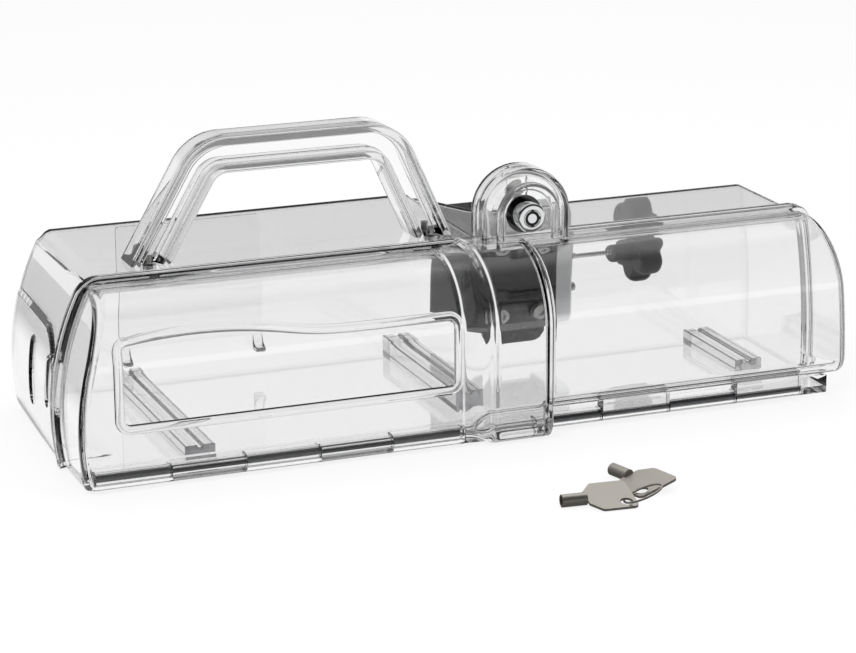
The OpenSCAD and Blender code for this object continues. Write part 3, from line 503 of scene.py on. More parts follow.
def prism(name, axis, outline, start, end, edge=(0, 0), finish=None, steps=5):
    """Outline (counter-clockwise) from start to end along axis, with round edges of the two radii: at angle a
    the outline stands r (1 - sin a) in from the end and is drawn in by r (1 - cos a)."""
    places, rings = [], []
    for place, r, sign in ((start, edge[0], 1), (end, edge[1], -1)):
        angles = np.radians(np.linspace(90, 0, steps if r > 0 else 1))[::sign]
        places += [place + sign * r * (1 - np.sin(a)) for a in angles]
        rings += [draw_in(outline, r * (1 - np.cos(a))) for a in angles]
    rings = np.stack(rings)
    grid = np.zeros((*rings.shape[:2], 3))
    along, first, second = AXES[axis]
    grid[..., along] = np.array(places)[:, None]
    grid[..., first], grid[..., second] = rings[..., 0], rings[..., 1]
    return open_grid(name, capped(grid), finish, wrap_columns=True)


def circle(cx, cy, r, count=64):
    """Closed circle, counter-clockwise."""
    return arc_points(cx, cy, r, 0, 360 * (1 - 1 / count), count)


# %% [markdown]
# ## Flanges along the seam
# Where the two shells meet, each has a flange that stands 3 mm proud of the top and of both ends. It is a
# rounded strip carried along the seam, so its section is written once and swept along the outline.

# %% Path of the seam and a flange along it
RIB_SECTION = [[-0.7, -2.9], [-0.7, -5.6], [-11.0, -3.7], [-11.0, -2.9]]


def seam_path(low, corner_r=7.0):
    """Points up the left arc, round the corner, along the top, round the corner and down the right arc."""
    z = np.linspace(low, CASE_H - corner_r, 30)
    left, right = np.stack([left_end(z), z], -1), np.stack([right_end(z[::-1]), z[::-1]], -1)
    ends = left_end(CASE_H), right_end(CASE_H)
    x = np.linspace(ends[0] + corner_r, ends[1] - corner_r, 40)
    top = np.stack([x, np.full(40, CASE_H)], -1)
    corners = [bend(a, [x, CASE_H], c, 10)[1:-1]
               for a, x, c in ((left[-1], ends[0], top[0]), (top[-1], ends[1], right[0]))]
    return np.concatenate([left, corners[0], top, corners[1], right])


def along_seam(name, profile, low):
    """Profile of (Y, distance out of the case) swept along the seam, down to the height low."""
    flat = seam_path(low)
    none = np.zeros(len(flat))
    path = np.column_stack([flat[:, 0], none, flat[:, 1]])
    along = tangents(path)
    out = np.column_stack([-along[:, 2], none, along[:, 0]])
    back = np.tile([0.0, 1.0, 0.0], (len(flat), 1))
    return open_grid(name, sweep(path, profile, back, out), case_clear, wrap_columns=True)


def flange(name, y_low, y_high, low):
    """Rounded strip from inside the wall to 3 mm proud of it."""
    return along_seam(name, round_outline((y_low, -WALL + 0.4), (y_high, RIM_PROUD), 1.3, 5), low)


# The rib is a low wedge inside the cover's edge. Its slanted face turns the light a little aside, which
# draws a faint grey band under the seam.
cover_parts = [flange("cover_flange", -RIM_W, -SEAM_GAP, SKIRT_Z),
               along_seam("cover_rib", soft_corners(RIB_SECTION, 0.3), 14.0)]
print("flange and rib", [len(part.data.polygons) for part in cover_parts], "faces")

# %% [markdown]
# ## Bead round the window
# A rounded bead runs round the flat window area of the cover. Its upper edge rises in a soft wave towards
# the left, and it follows the shoulder's curve, so the path is laid on the cover's surface point by point.

# %% Path and bead
WINDOW_X, WINDOW_Z, CORNER_R = (-197.0, -2.0), (31.0, 77.5), 8.0
RISE_X = [-197, -187, -175, -160, -143, -125, -110, -98, -88, -76, -60, -2]
RISE = [4.6, 5.8, 6.8, 7.6, 7.6, 6.6, 4.8, 2.8, 1.2, 0.3, 0, 0]
BEAD_R, BEAD_INSET, BEAD_TALL = 2.7, 2.5, 1.05


def window_top(x):
    """Height of the upper edge: the rise at 12 places, joined by straight lines and averaged over 16 mm."""
    near = [np.interp(np.asarray(x) + s, RISE_X, RISE) for s in np.linspace(-8, 8, 17)]
    return WINDOW_Z[1] + np.mean(near, 0)


def front_y(z):
    """Y of the cover's face at height z: the upright front, or the shoulder's arc above it."""
    return SHOULDER_Y - np.sqrt(SHOULDER_R ** 2 - np.clip(z - SHOULDER_Z, 0, SHOULDER_R) ** 2)


def window_path(inset):
    """Closed outline of the bead's middle, counter-clockwise as seen from the front."""
    x0, x1, z0 = WINDOW_X[0] + CORNER_R, WINDOW_X[1] - CORNER_R, WINDOW_Z[0] + CORNER_R
    r, z1, z2 = CORNER_R - inset, window_top(x1) - CORNER_R, window_top(x0) - CORNER_R
    top_x, side = np.linspace(x1, x0, 90)[1:-1], np.linspace(0, 1, 12)[1:-1]
    flat = np.concatenate([
        arc_points(x1, z0, r, -90, 0, 9), np.stack([np.full(10, x1 + r), z0 + side * (z1 - z0)], -1),
        arc_points(x1, z1, r, 0, 90, 9), np.stack([top_x, window_top(top_x) - inset], -1),
        arc_points(x0, z2, r, 90, 180, 9), np.stack([np.full(10, x0 - r), z2 + side * (z0 - z2)], -1),
        arc_points(x0, z0, r, 180, 270, 9),
        np.stack([np.linspace(x0, x1, 80)[1:-1], np.full(78, z0 - r)], -1)])
    return np.column_stack([flat[:, 0], front_y(flat[:, 1]), flat[:, 1]])


rim_path = window_path(BEAD_INSET)
rim_along = tangents(rim_path, closed=True)
rim_out = np.column_stack([np.zeros(len(rim_path)), rim_path[:, 1] - SHOULDER_Y,
                           np.clip(rim_path[:, 2] - SHOULDER_Z, 0, None)])
rim_out /= np.linalg.norm(rim_out, axis=1, keepdims=True)
rim_side = np.cross(rim_along, rim_out)
rim_side /= np.linalg.norm(rim_side, axis=1, keepdims=True)
bead_profile = arc_points(0, 0, BEAD_R, 0, 337.5, 16) * [1, BEAD_TALL]
cover_parts.append(open_grid("window_bead", sweep(rim_path, bead_profile, rim_side, rim_out, closed=True),
                             case_clear, wrap_rows=True, wrap_columns=True))
print("bead path", len(rim_path), "points")

# %% [markdown]
# ## Lock housing and hinge knuckles
# A round housing stands on the seam: the front half belongs to the cover and carries a boss for the lock, and
# the rear half is a shallow box with a keyhole for the lock's cam. The knuckles of the hinge take turns.

# %% The front half of the lock housing
DOME_FRONT, BOSS_FRONT, DOME_BACK, CUT_TO = -11, -14, 11, 1


def dome_outline(r, foot):
    """Half circle on straight flanks that reach down to the height foot."""
    top = arc_points(DOME_X, DOME_Z, r, 0, 180, 49)
    return np.concatenate([top, [[DOME_X - r, foot], [DOME_X + r, foot]]])


dome_foot = SHALLOW_H - WALL / 2
dome_inside = dome_outline(DOME_R - DOME_WALL, CASE_H)
boss_inside = dome_outline(BOSS_R - 4, CASE_H + 0.4)
cover_parts += [prism("dome_front", "y", dome_outline(DOME_R, dome_foot), DOME_FRONT, -SEAM_GAP, (3.5, 0.3)),
                prism("dome_boss", "y", dome_outline(BOSS_R, dome_foot), BOSS_FRONT, -8, (2.4, 0))]
dome_hollow = [prism("hollow_front", "y", dome_inside, DOME_FRONT + DOME_WALL, CUT_TO, (2.5, 0)),
               prism("hollow_boss", "y", boss_inside, BOSS_FRONT + WALL, CUT_TO, (1.5, 0)),
               prism("hollow_barrel", "y", circle(*LOCK_AT, 7.1, 48), -20, CUT_TO)]

# %% Knuckles of both shells
REAR_LUG_Y, REAR_LUG_Z, FRONT_LUG_Y, LIP_LUG_Z = HINGE_Y + 7.3, 5.3, -46.8, 15.2


def knuckle_outline(kind):
    """A circle with a tangent lug towards what carries it, counter-clockwise in Y and Z."""
    if kind == "rear":
        return np.concatenate([[[REAR_LUG_Y, REAR_LUG_Z], [REAR_LUG_Y, HINGE_Z + KNUCKLE_R]],
                               arc_points(HINGE_Y, HINGE_Z, KNUCKLE_R, 90, 345, 30)])
    if kind == "straight":
        return np.concatenate([[[FRONT_LUG_Y, HINGE_Z + 3], [FRONT_LUG_Y, SKIRT_Z]],
                               arc_points(HINGE_Y, HINGE_Z, KNUCKLE_R, -90, 131, 28)])
    return np.concatenate([arc_points(HINGE_Y, HINGE_Z, KNUCKLE_R, 180, 360, 22),
                           [[HINGE_Y + KNUCKLE_R, LIP_LUG_Z], [HINGE_Y - KNUCKLE_R, LIP_LUG_Z]]])


rear_parts = []
for k in range(10):
    start = -HINGE_LEN / 2 + k * PITCH + KNUCKLE_GAP / 2
    kind = "rear" if k % 2 == 0 else "straight" if start < BAND_X[3] else "lip"
    made = prism(f"knuckle_{k}", "x", knuckle_outline(kind), start, start + PITCH - KNUCKLE_GAP, (0.5, 0.5),
                 case_clear, 3)
    (rear_parts if kind == "rear" else cover_parts).append(made)
print("knuckles on the rear shell:", len(rear_parts))


# %% Pin and finished cover
def pin_rod(name, start, end, r, edge=0, finish=None):
    """Round rod on the hinge's axis."""
    return prism(name, "x", circle(HINGE_Y, HINGE_Z, r, 40), start, end, (edge, edge), finish, 3)


def pin_bore():
    """Cutter for the pin's way through the knuckles."""
    return pin_rod("pin_bore", -215, 240, PIN_R + 0.05)


# The photo shows nothing of the pin inside the band, so it stops on both sides of it.
pin_end = HINGE_LEN / 2 - KNUCKLE_GAP / 2
pins = join_solids(pin_rod("pin_left", -pin_end, -1, PIN_R, 0.3, dark_steel),
                   [pin_rod("pin_right", BAND_X[3] + 1, pin_end, PIN_R, 0.3)], "UNION")
settle(pins, "case", "hinge_pin")
cover = join_solids(cover, cover_parts, "UNION")
cover = join_solids(cover, dome_hollow + [pin_bore()], "DIFFERENCE")
settle(cover, "cover", "front_cover")
print("cover", len(cover.data.polygons), "faces")

# %% [markdown]
# ## The rear shell's skin
# The rear shell is a tub: four walls round the seam's outline, and a back that steps from the deep bay to the
# shallow one. The grid starts at the seam, runs back along the walls, rounds the rear edge, and then each
# column runs across the back to the middle line. The back's depth is a function of X.

# %% Outline and depth of the tub
STEP = (30.0, 62.02, 9.0, 25.0)
BACK_ENDS = (-150, 190)
BACK_X = stretches((BACK_ENDS[0], 24, 58), (25, 29, 6), (29.2, 30.8, 9), (31.5, 72, 50),
                   (74, BACK_ENDS[1], 38))


def rear_depth(x, inset):
    """Depth of the back at x: flat, outer bend, slant, inner bend, flat, joined as one line."""
    x1, x2, r, lean = STEP
    a = arc_points(x1, DEEP_D - r, r - inset, 90, lean, 14)
    b = arc_points(x2, SHALLOW_D + r, r + inset, 180 + lean, 270, 14)
    line = np.concatenate([[[-600, DEEP_D - inset]], a, b, [[600, SHALLOW_D - inset]]])
    return np.interp(x, line[:, 0], line[:, 1])


def tub_outline(inset):
    """Closed outline of the walls, inset mm inside the outer face: floor, right arc, top, left arc.
    Floor and top have the same X between -150 and 190, so that they can meet on the middle line."""
    r, low, top, side_top = max(3.0 - inset, 0.6), inset, CASE_H - inset, SHALLOW_H - inset

    def level(z, right_z):
        """X along the floor or the top, from the left corner to the right one at the height right_z."""
        return np.concatenate([np.linspace(left_end(z, inset) + r, BACK_ENDS[0] - 3, 16), BACK_X,
                               np.linspace(BACK_ENDS[1] + 4, right_end(right_z, inset) - r, 14)])
    z_right, z_left = np.linspace(low + r, side_top - r, 30), np.linspace(top - r, low + r, 66)
    floor_x, top_x = level(low, low), level(top, side_top)[::-1]
    top_z = side_top + (top - side_top) * smooth_step((30.8 - top_x) / 1.6)
    sides = [np.stack([floor_x, np.full(len(floor_x), low)], -1),
             np.stack([right_end(z_right, inset), z_right], -1),
             np.stack([top_x, top_z], -1),
             np.stack([left_end(z_left, inset), z_left], -1)]
    corners = [[right_end(low, inset), low], [right_end(side_top, inset), side_top],
               [left_end(top, inset), top], [left_end(low, inset), low]]
    bends = [bend(sides[k][-1], corners[k], sides[(k + 1) % 4][0], 7)[1:-1] for k in range(4)]
    return np.concatenate([part for pair in zip(sides, bends) for part in pair])


print("depth of the bays", rear_depth(-100, 0), "and", rear_depth(150, 0), "mm")

# %% Walls and back of the tub
PANEL_FROM_Y, PANEL_TOP, PANEL_R, PANEL_PROUD, PANEL_SOFT = 6.0, 70.0, 36.0, 1.2, 1.6
LEFT_FROM_X, LEFT_OVER, LEFT_LEAN, LEFT_EDGE_R, REAR_EDGE_R = -186, 10, 4, 9.0, 2.5


def panel_rise(y, z, at_left):
    """How far the left end's raised panel stands out at depth y and height z: the panel reaches from
    PANEL_FROM_Y back and from the floor to PANEL_TOP, and its upper front corner is an arc."""
    corner_y, corner_z = PANEL_FROM_Y + PANEL_R, PANEL_TOP - PANEL_R
    to_arc = np.hypot(np.maximum(corner_y - y, 0), np.maximum(z - corner_z, 0)) - PANEL_R
    outside = np.where((y < corner_y) & (z > corner_z), to_arc, np.maximum(PANEL_FROM_Y - y, z - PANEL_TOP))
    return PANEL_PROUD * at_left * smooth_step(0.5 - outside / PANEL_SOFT)


def tub_skin(inset):
    """Rows from the seam back along the walls, round the rear edge, and in to the middle line. The left end
    leans in by LEFT_LEAN and has the larger rear edge; both fade out over LEFT_OVER mm of X."""
    line = tub_outline(inset)
    inward = 2 * (draw_in(line, 0.5) - line)
    at_left = smooth_step((LEFT_FROM_X - line[:, 0]) / LEFT_OVER)
    depth = rear_depth(line[:, 0], inset)
    small, large = max(REAR_EDGE_R - inset, 1.0), max(LEFT_EDGE_R - inset, 1.0)
    edge = small + (large - small) * at_left

    def ring(near, far):
        """The outline drawn in by near mm, and by far mm at the left end."""
        w = at_left[:, None]
        return (1 - w) * tub_outline(inset + near) + w * tub_outline(inset + far)
    rows = []
    for share in stretches((0, 0.4, 42), (0.43, 1, 16)):
        y = share * (depth - edge)
        p = ring(0, LEFT_LEAN * share)
        if inset == 0:
            p = p - inward * panel_rise(y, line[:, 1], at_left)[:, None]
        rows.append(np.column_stack([p[:, 0], y, p[:, 1]]))
    for a in np.radians(np.linspace(0, 90, 8))[1:]:
        p = ring(small * (1 - np.cos(a)), LEFT_LEAN + large * (1 - np.cos(a)))
        rows.append(np.column_stack([p[:, 0], depth - edge * (1 - np.sin(a)), p[:, 1]]))
    rim = ring(small, LEFT_LEAN + large)
    middle = np.column_stack([np.clip(line[:, 0], *BACK_ENDS), np.full(len(line), 50.0)])
    for t in np.linspace(0, 1, 8)[1:]:
        p = rim + (middle - rim) * t
        rows.append(np.column_stack([p[:, 0], rear_depth(p[:, 0], inset), p[:, 1]]))
    return np.stack(rows)


rear = open_grid("rear_moulding", np.concatenate([tub_skin(WALL)[::-1], tub_skin(0)]), case_clear,
                 wrap_columns=True)
print("rear skin", len(rear.data.polygons), "faces")

# %% Floor in front of the seam, sill, flange, lock housing and openings of the rear shell
SILL = np.array([[-35, 0], [1, 0], [1, WALL], [-31.5, WALL], [-31.5, 10.3], [-35, 10.3]], float)
RECESS = [[-128, 36.2], [-16, 36.2], [42, 146], [-118, 146]]
RECESS_DEEP, SLOT_R, SLOT_TOP, SLOT_LOW = 0.2, 4.5, 57, {62: 18, 22: 28}

rear_parts += [prism("fore_floor", "x", SILL, -207.6, 229.5, (0.8, 0.8), None, 3),
               flange("rear_flange", 0, RIM_W, 0.4),
               prism("dome_rear", "y", dome_outline(DOME_R, dome_foot), 0, DOME_BACK, (0.3, 3.5))]
keyhole = round_outline(np.add(LOCK_AT, (-6.5, 0)), np.add(LOCK_AT, (6.5, 21)), 2)
cuts = [prism("hollow_rear", "y", dome_inside, 2.5, 9, (0, 2.5)),
        prism("striker_hole", "y", circle(*LOCK_AT, 9, 48), -1, 3.2),
        prism("striker_slot", "y", keyhole, -1, 3.2),
        prism("top_recess", "z", soft_corners(RECESS, 14, 9), CASE_H - RECESS_DEEP, CASE_H + 2)]
# The two slots in the left end stand upright; each is given by its Y and the height of its lower end.
cuts += [prism(f"slot_{y}", "x", round_outline((y - SLOT_R, low), (y + SLOT_R, SLOT_TOP), SLOT_R - 0.01, 9),
               -240, -190) for y, low in SLOT_LOW.items()]
rear = join_solids(rear, rear_parts, "UNION")
rear = join_solids(rear, cuts + [pin_bore()], "DIFFERENCE")
settle(rear, "case", "rear_shell")
print("rear shell", len(rear.data.polygons), "faces")

# %% [markdown]
# ## Carry handle
# The handle is one clear moulding with an H section: two ribs along its edges and a thin web between them.
# Its middle line is two straight legs and two bends, and the section runs on unchanged to the case's top.

# %% Handle swept along its middle line
HANDLE_X, HANDLE_TOP, HANDLE_Y = (-166.0, 20.0), 168.0, 33.0
BAR_W, HANDLE_T, RIB_W, WEB_T, BEND_R = 20.0, 23.0, 5.0, 4.0, 30.0
RIB_EDGE_R, RIB_INNER_R, WEB_SLOPE = 1.6, 0.9, 1.2
LEAN = np.radians([60.0, 66.0])


def handle_line():
    """Middle line from foot to foot, half a bar inside the outer arch."""
    bend_z, r, half = HANDLE_TOP - BEND_R, BEND_R - BAR_W / 2, BAR_W / 2
    centre_x = [HANDLE_X[0] + BEND_R / np.sin(LEAN[0]) + (bend_z - CASE_H) / np.tan(LEAN[0]),
                HANDLE_X[1] - BEND_R / np.sin(LEAN[1]) - (bend_z - CASE_H) / np.tan(LEAN[1])]
    feet = [np.array([HANDLE_X[0] + half / np.sin(LEAN[0]), CASE_H]),
            np.array([HANDLE_X[1] - half / np.sin(LEAN[1]), CASE_H])]
    left = arc_points(centre_x[0], bend_z, r, 90 + np.degrees(LEAN[0]), 90, 16)
    right = arc_points(centre_x[1], bend_z, r, 90, 90 - np.degrees(LEAN[1]), 16)
    leg_a = feet[0] + np.linspace(0, 1, 26)[:-1, None] * (left[0] - feet[0])
    leg_b = right[-1] + np.linspace(0, 1, 26)[1:, None] * (feet[1] - right[-1])
    top = left[-1] + np.linspace(0, 1, 20)[1:-1, None] * (right[0] - left[-1])
    return np.concatenate([leg_a, left, top, right, leg_b])


def handle_section():
    """Section as (across the bar, front to back): a round-edged block with a pocket in each face."""
    a, b, rib, web = BAR_W / 2, HANDLE_T / 2, BAR_W / 2 - RIB_W, WEB_T / 2
    front = np.concatenate([arc_points(a - RIB_EDGE_R, b - RIB_EDGE_R, RIB_EDGE_R, 0, 90, 6),
                            arc_points(rib + RIB_INNER_R, b - RIB_INNER_R, RIB_INNER_R, 90, 180, 4),
                            [[rib, (b + web) / 2], [rib - WEB_SLOPE, web], [0, web]]])
    upper = np.concatenate([front, front[-2::-1] * [-1, 1]])
    return np.concatenate([upper, -upper])


line = handle_line()
path = np.column_stack([line[:, 0], np.full(len(line), HANDLE_Y), line[:, 1]])
along = tangents(path)
side = np.column_stack([-along[:, 2], np.zeros(len(along)), along[:, 0]])
section = handle_section()
rows = []
for k, (p, d, n) in enumerate(zip(path, along, side)):
    ring = p + section[:, :1] * n + section[:, 1:] * np.array([0, 1, 0])
    if k in (0, len(path) - 1):
        ring -= d * ((ring[:, 2] - CASE_H - 0.05) / d[2])[:, None]
    elif ring[:, 2].min() < CASE_H + 0.3:
        continue
    rows.append(ring)
handle = open_grid("handle_moulding", capped(np.stack(rows)), case_clear, wrap_columns=True)
settle(handle, "case", "carry_handle")
print("handle", len(handle.data.polygons), "faces")

# %% [markdown]
# ## Rails and pump guide
# Three clear rails lie on the floor, and a clear plate with two hooks hangs on the rear wall. They are bonded
# on, but a real joint still holds a film of air in places, so each stands 0.15 mm off: the light then turns
# at both faces, as it does in the photo, instead of passing straight on.

# %% Rails with a groove and round edges
AIR, END_GAP = 0.15, 0.5
RAIL_W, GROOVE_W, GROOVE_T = 17.0, 3.0, 1.5
DEEP_WALL, SHALLOW_WALL = DEEP_D - WALL, SHALLOW_D - WALL
RAILS = {"left_rail": (-153, -24, DEEP_WALL - END_GAP, 9), "middle_rail": (13, 0.3, DEEP_WALL - END_GAP, 12),
         "right_rail": (190, RIM_W, SHALLOW_WALL - END_GAP, 9)}

for name, (x, y0, y1, h) in RAILS.items():
    low, top, x1 = WALL + AIR, WALL + h, x + RAIL_W
    g0, g1 = x + (RAIL_W - GROOVE_W) / 2, x + (RAIL_W + GROOVE_W) / 2
    outline = [[x, low], [x1, low], [x1, top], [g1, top], [g1, top - GROOVE_T], [g0, top - GROOVE_T],
               [g0, top], [x, top]]
    made = prism(name + "_moulding", "y", soft_corners(outline, 0.8), y0, y1, (0.3, 0.3), case_clear, 3)
    settle(made, "case", name)
    print(name, round(y1 - y0, 1), "mm long")

# %% Guide plate with its two hooks
GUIDE_X, GUIDE_Z, GUIDE_T, HOOK_W = (-148.5, -62.5), (27, 96), 1.6, 6.0
HOOK_REACH, HOOK_LOW, HOOK_TOP, HOOK_T = 9, 16, 30, 3

back = DEEP_WALL - AIR
corners = [[GUIDE_X[0], GUIDE_Z[0]], [GUIDE_X[1], GUIDE_Z[0]], [GUIDE_X[1], GUIDE_Z[1]],
           [GUIDE_X[0], GUIDE_Z[1]]]
guide = prism("guide_moulding", "y", soft_corners(corners, 2.0), back - GUIDE_T, back, (0.5, 0.3),
              case_clear)
hook = soft_corners([[back - HOOK_REACH, HOOK_LOW], [back - 0.2, HOOK_LOW], [back - 0.2, HOOK_TOP],
                     [back - 1.4, HOOK_TOP], [back - 2.8, HOOK_LOW + HOOK_T],
                     [back - HOOK_REACH, HOOK_LOW + HOOK_T]], 0.9)
hooks = [prism(f"hook_{k}", "x", hook, x + 0.2, x + HOOK_W - 0.2, (0.6, 0.6), None, 4)
         for k, x in enumerate((GUIDE_X[0], GUIDE_X[1] - HOOK_W))]
guide = join_solids(guide, hooks, "UNION")
settle(guide, "case", "pump_guide")
print("rails and guide made")

# %% [markdown]
# ## Lock, clamp and knob
# The lock's head and plug get round edges and a real ring keyway, whose depth is painted shade: a black
# sleeve sits in the groove and its notches. The clamp's casting has a round lower lug and a shorter arm. The
# knob is a smooth six-lobed star, and the spindle has its thread.

# %% Tubular lock
HEAD_R, BARREL_R, PLUG_R, LOCK_FACE, HEAD_BACK = 8.4, 7.0, 5.0, -24.0, -14.0
KEYWAY, KEYWAY_DEEP, NOTCH_DEEP, TAIL_R = (2.6, 4.3), 5, 4, 3.5
# The last value is the gap round the black sleeve that paints the keyway's shade.
NOTCH_HALF, NOTCH_NEAR, NOTCH_FAR, SHADE_SLEEVE_GAP = 0.9, 3.4, 5.3, 0.04


def disc(name, r, start, end, edge=(0, 0), finish=None):
    """Round prism about the lock's axis."""
    return prism(name, "y", circle(*LOCK_AT, r), start, end, edge, finish)


def notches(name, inset, start, end):
    """The keyway's three notches: above, to the right and below. Their black finish paints the shade deep in
    the notches.
    """
    a, near, far = NOTCH_HALF - inset, NOTCH_NEAR, NOTCH_FAR - inset
    boxes = [((-a, near), (a, far)), ((near, -a), (far, a)), ((-a, -far), (a, -near))]
    return [prism(f"{name}_{k}", "y", round_outline(np.add(LOCK_AT, low), np.add(LOCK_AT, high), 0.2), start,
                  end, (0, 0), black_rubber) for k, (low, high) in enumerate(boxes)]


barrel = join_solids(disc("barrel_moulding", HEAD_R, LOCK_FACE, HEAD_BACK, (1.5, 0.4), chrome_plate),
                     [disc("barrel_body", BARREL_R - 0.05, HEAD_BACK - 2, -2)], "UNION")
barrel = join_solids(barrel, [disc("barrel_bore", PLUG_R + 0.08, LOCK_FACE - 1, -1)], "DIFFERENCE")
settle(barrel, "cover", "lock_barrel")
plug = disc("plug_turned", PLUG_R, LOCK_FACE - 0.1, -2, (0.4, 0.2), chrome_plate)
plug = join_solids(plug, [disc("plug_tail", TAIL_R, -3, 3.2)], "UNION")
groove = join_solids(disc("groove", KEYWAY[1], LOCK_FACE - 1, LOCK_FACE + KEYWAY_DEEP),
                     [disc("groove_core", KEYWAY[0], LOCK_FACE - 2, LOCK_FACE + 6)], "DIFFERENCE")
plug = join_solids(plug, [groove] + notches("notch", 0, LOCK_FACE - 1, LOCK_FACE + NOTCH_DEEP) +
                   [disc("tail_bore", 2.05, -1.8, 4)], "DIFFERENCE")
settle(plug, "lock_core", "lock_plug")
# Painted shade: a thin black sleeve just inside the groove's walls stands in for the dark deep in the ring
# groove and the notches.
keyway_shade = join_solids(disc("keyway_painted_shade", KEYWAY[1] - SHADE_SLEEVE_GAP, LOCK_FACE + 0.12,
                          LOCK_FACE + KEYWAY_DEEP - 0.1, (0, 0), black_rubber),
                     [disc("painted_shade_core", KEYWAY[0] + SHADE_SLEEVE_GAP, LOCK_FACE, LOCK_FACE + 6)], "DIFFERENCE")
keyway_shade = join_solids(keyway_shade, notches("notch_painted_shade", SHADE_SLEEVE_GAP, LOCK_FACE + 0.12, LOCK_FACE + NOTCH_DEEP - 0.1),
                     "UNION")
settle(keyway_shade, "lock_core")
print("keyway", 2 * KEYWAY[1], "mm across")

# %% Clamp casting and end plate
POLE, POLE_R, PAD_T = (79.0, 104.0), 12.5, 2.0
CLAMP_Z, MOUNT_Y = (22.0, 93.0), 78.05
ARM_END, ARM_R = (48.67, 112), 6
SPINDLE = (105.0, 63.0)

form = [[62.0, MOUNT_Y], [107, MOUNT_Y], [107, 85], [79, 85], [79, 118]]
form += arc_points(*ARM_END, ARM_R, 90, 205, 10).tolist() + [[53.7, 87]]
clamp = prism("clamp_casting", "z", soft_corners(form, 1.2), *CLAMP_Z, (1.6, 1.6), black_nylon)
lug = prism("clamp_lug", "y", round_outline((62, 15.5), (101, 44), 9, 8), 78.1, 84.5, (1.5, 1.5))
clamp = join_solids(clamp, [lug], "UNION")
clamp = join_solids(clamp, [prism("arm_cut", "z", round_outline((38, 89), (71, 130), 4), 10, 28, (0, 3)),
                            prism("pole_way", "z", circle(*POLE, POLE_R + PAD_T), 0, 120)], "DIFFERENCE")
settle(clamp, "case", "clamp_body")
plate = prism("end_plate_cast", "x", round_outline((78.1, CLAMP_Z[0]), (118, CLAMP_Z[1]), 7, 8), 107.05, 118,
              (0.6, 2.0), satin_aluminium)
plate = join_solids(plate, [prism("plate_bore", "x", circle(*SPINDLE, 2.6, 32), 100, 125)], "DIFFERENCE")
settle(plate, "case", "clamp_end_plate")
print("clamp casting", len(clamp.data.polygons), "faces")

# %% Knob
KNOB_R, KNOB_X, KNOB_EDGE_R, LOBES, LOBE_DEEP = 25.0, (166.0, 180.0), 5.0, 6, 5.2
HUB_R, CAP_SEAT_R = 9.0, 8.05


def spun(name, x, radius, finish):
    """Surface (x, radius cos a, radius sin a) about the spindle's axis: a column of x, and a grid of radii
    with one column for each angle a."""
    a = np.linspace(0, 2 * np.pi, radius.shape[1], endpoint=False)
    grid = np.stack([np.broadcast_to(x, radius.shape), SPINDLE[0] + radius * np.cos(a),
                     SPINDLE[1] + radius * np.sin(a)], -1)
    return open_grid(name, capped(grid), finish, wrap_columns=True)


theta = np.linspace(0, 2 * np.pi, 144, endpoint=False)
star = KNOB_R - LOBE_DEEP * (0.5 + 0.5 * np.cos(LOBES * theta)) ** 1.6
quarter = np.radians(np.linspace(0, 90, 9))[:, None]
rise, drawn = KNOB_EDGE_R * (1 - np.cos(quarter)), KNOB_EDGE_R * (1 - np.sin(quarter))
knob = spun("knob_moulding", np.concatenate([KNOB_X[0] + rise, KNOB_X[1] - rise[::-1]]),
            star - np.concatenate([drawn, drawn[::-1]]), black_nylon)
knob = join_solids(knob, [prism("knob_hub", "x", circle(*SPINDLE, HUB_R), 154, KNOB_X[0] + 2, (1.5, 0))],
                   "UNION")
spindle_seat = prism("spindle_seat", "x", circle(*SPINDLE, 2.55, 32), 150, KNOB_X[0] + 6.05)
knob = join_solids(knob, [prism("cap_seat", "x", circle(*SPINDLE, CAP_SEAT_R), KNOB_X[1] - 1, KNOB_X[1] + 2),
                          spindle_seat], "DIFFERENCE")
settle(knob, "spindle", "clamp_knob")

# %% Threaded spindle
THREAD_R, THREAD_DEEP, THREAD_PITCH, SPINDLE_TIP, THREAD_STEP = 2.5, 0.42, 2.0, 95.6, 0.25

turn = np.linspace(0, 1, 32, endpoint=False)
x = np.arange(SPINDLE_TIP, KNOB_X[0] + 6, THREAD_STEP)[:, None]
radius = THREAD_R - THREAD_DEEP * np.abs(2 * ((x / THREAD_PITCH + turn) % 1) - 1)
spindle = spun("spindle_thread", x, radius, bright_steel)
collar = prism("spindle_collar", "x", circle(*SPINDLE, 4.0, 40), 103.9, 105.0, (0.2, 0.2), None, 3)
spindle = join_solids(spindle, [collar], "UNION")
settle(spindle, "spindle", "clamp_spindle")
print("lock, clamp and knob made")

# %% [markdown]
# ## Floor, light and camera
# This is a product photo on white, and the floor and the world look white to the camera. Clear plastic shows
# only by what it bends and mirrors, though, and in front of plain white it would vanish. So rays that have
# passed through the plastic or bounced off it meet a room with white and dim parts, as in a photo tent with
# dark cards, and that draws the grey edges. The light that falls on the object stays at a plain level.

# %% White floor that keeps the shadow
MIRRORED_GREY, PASSED_GREY = 0.1, 0.3


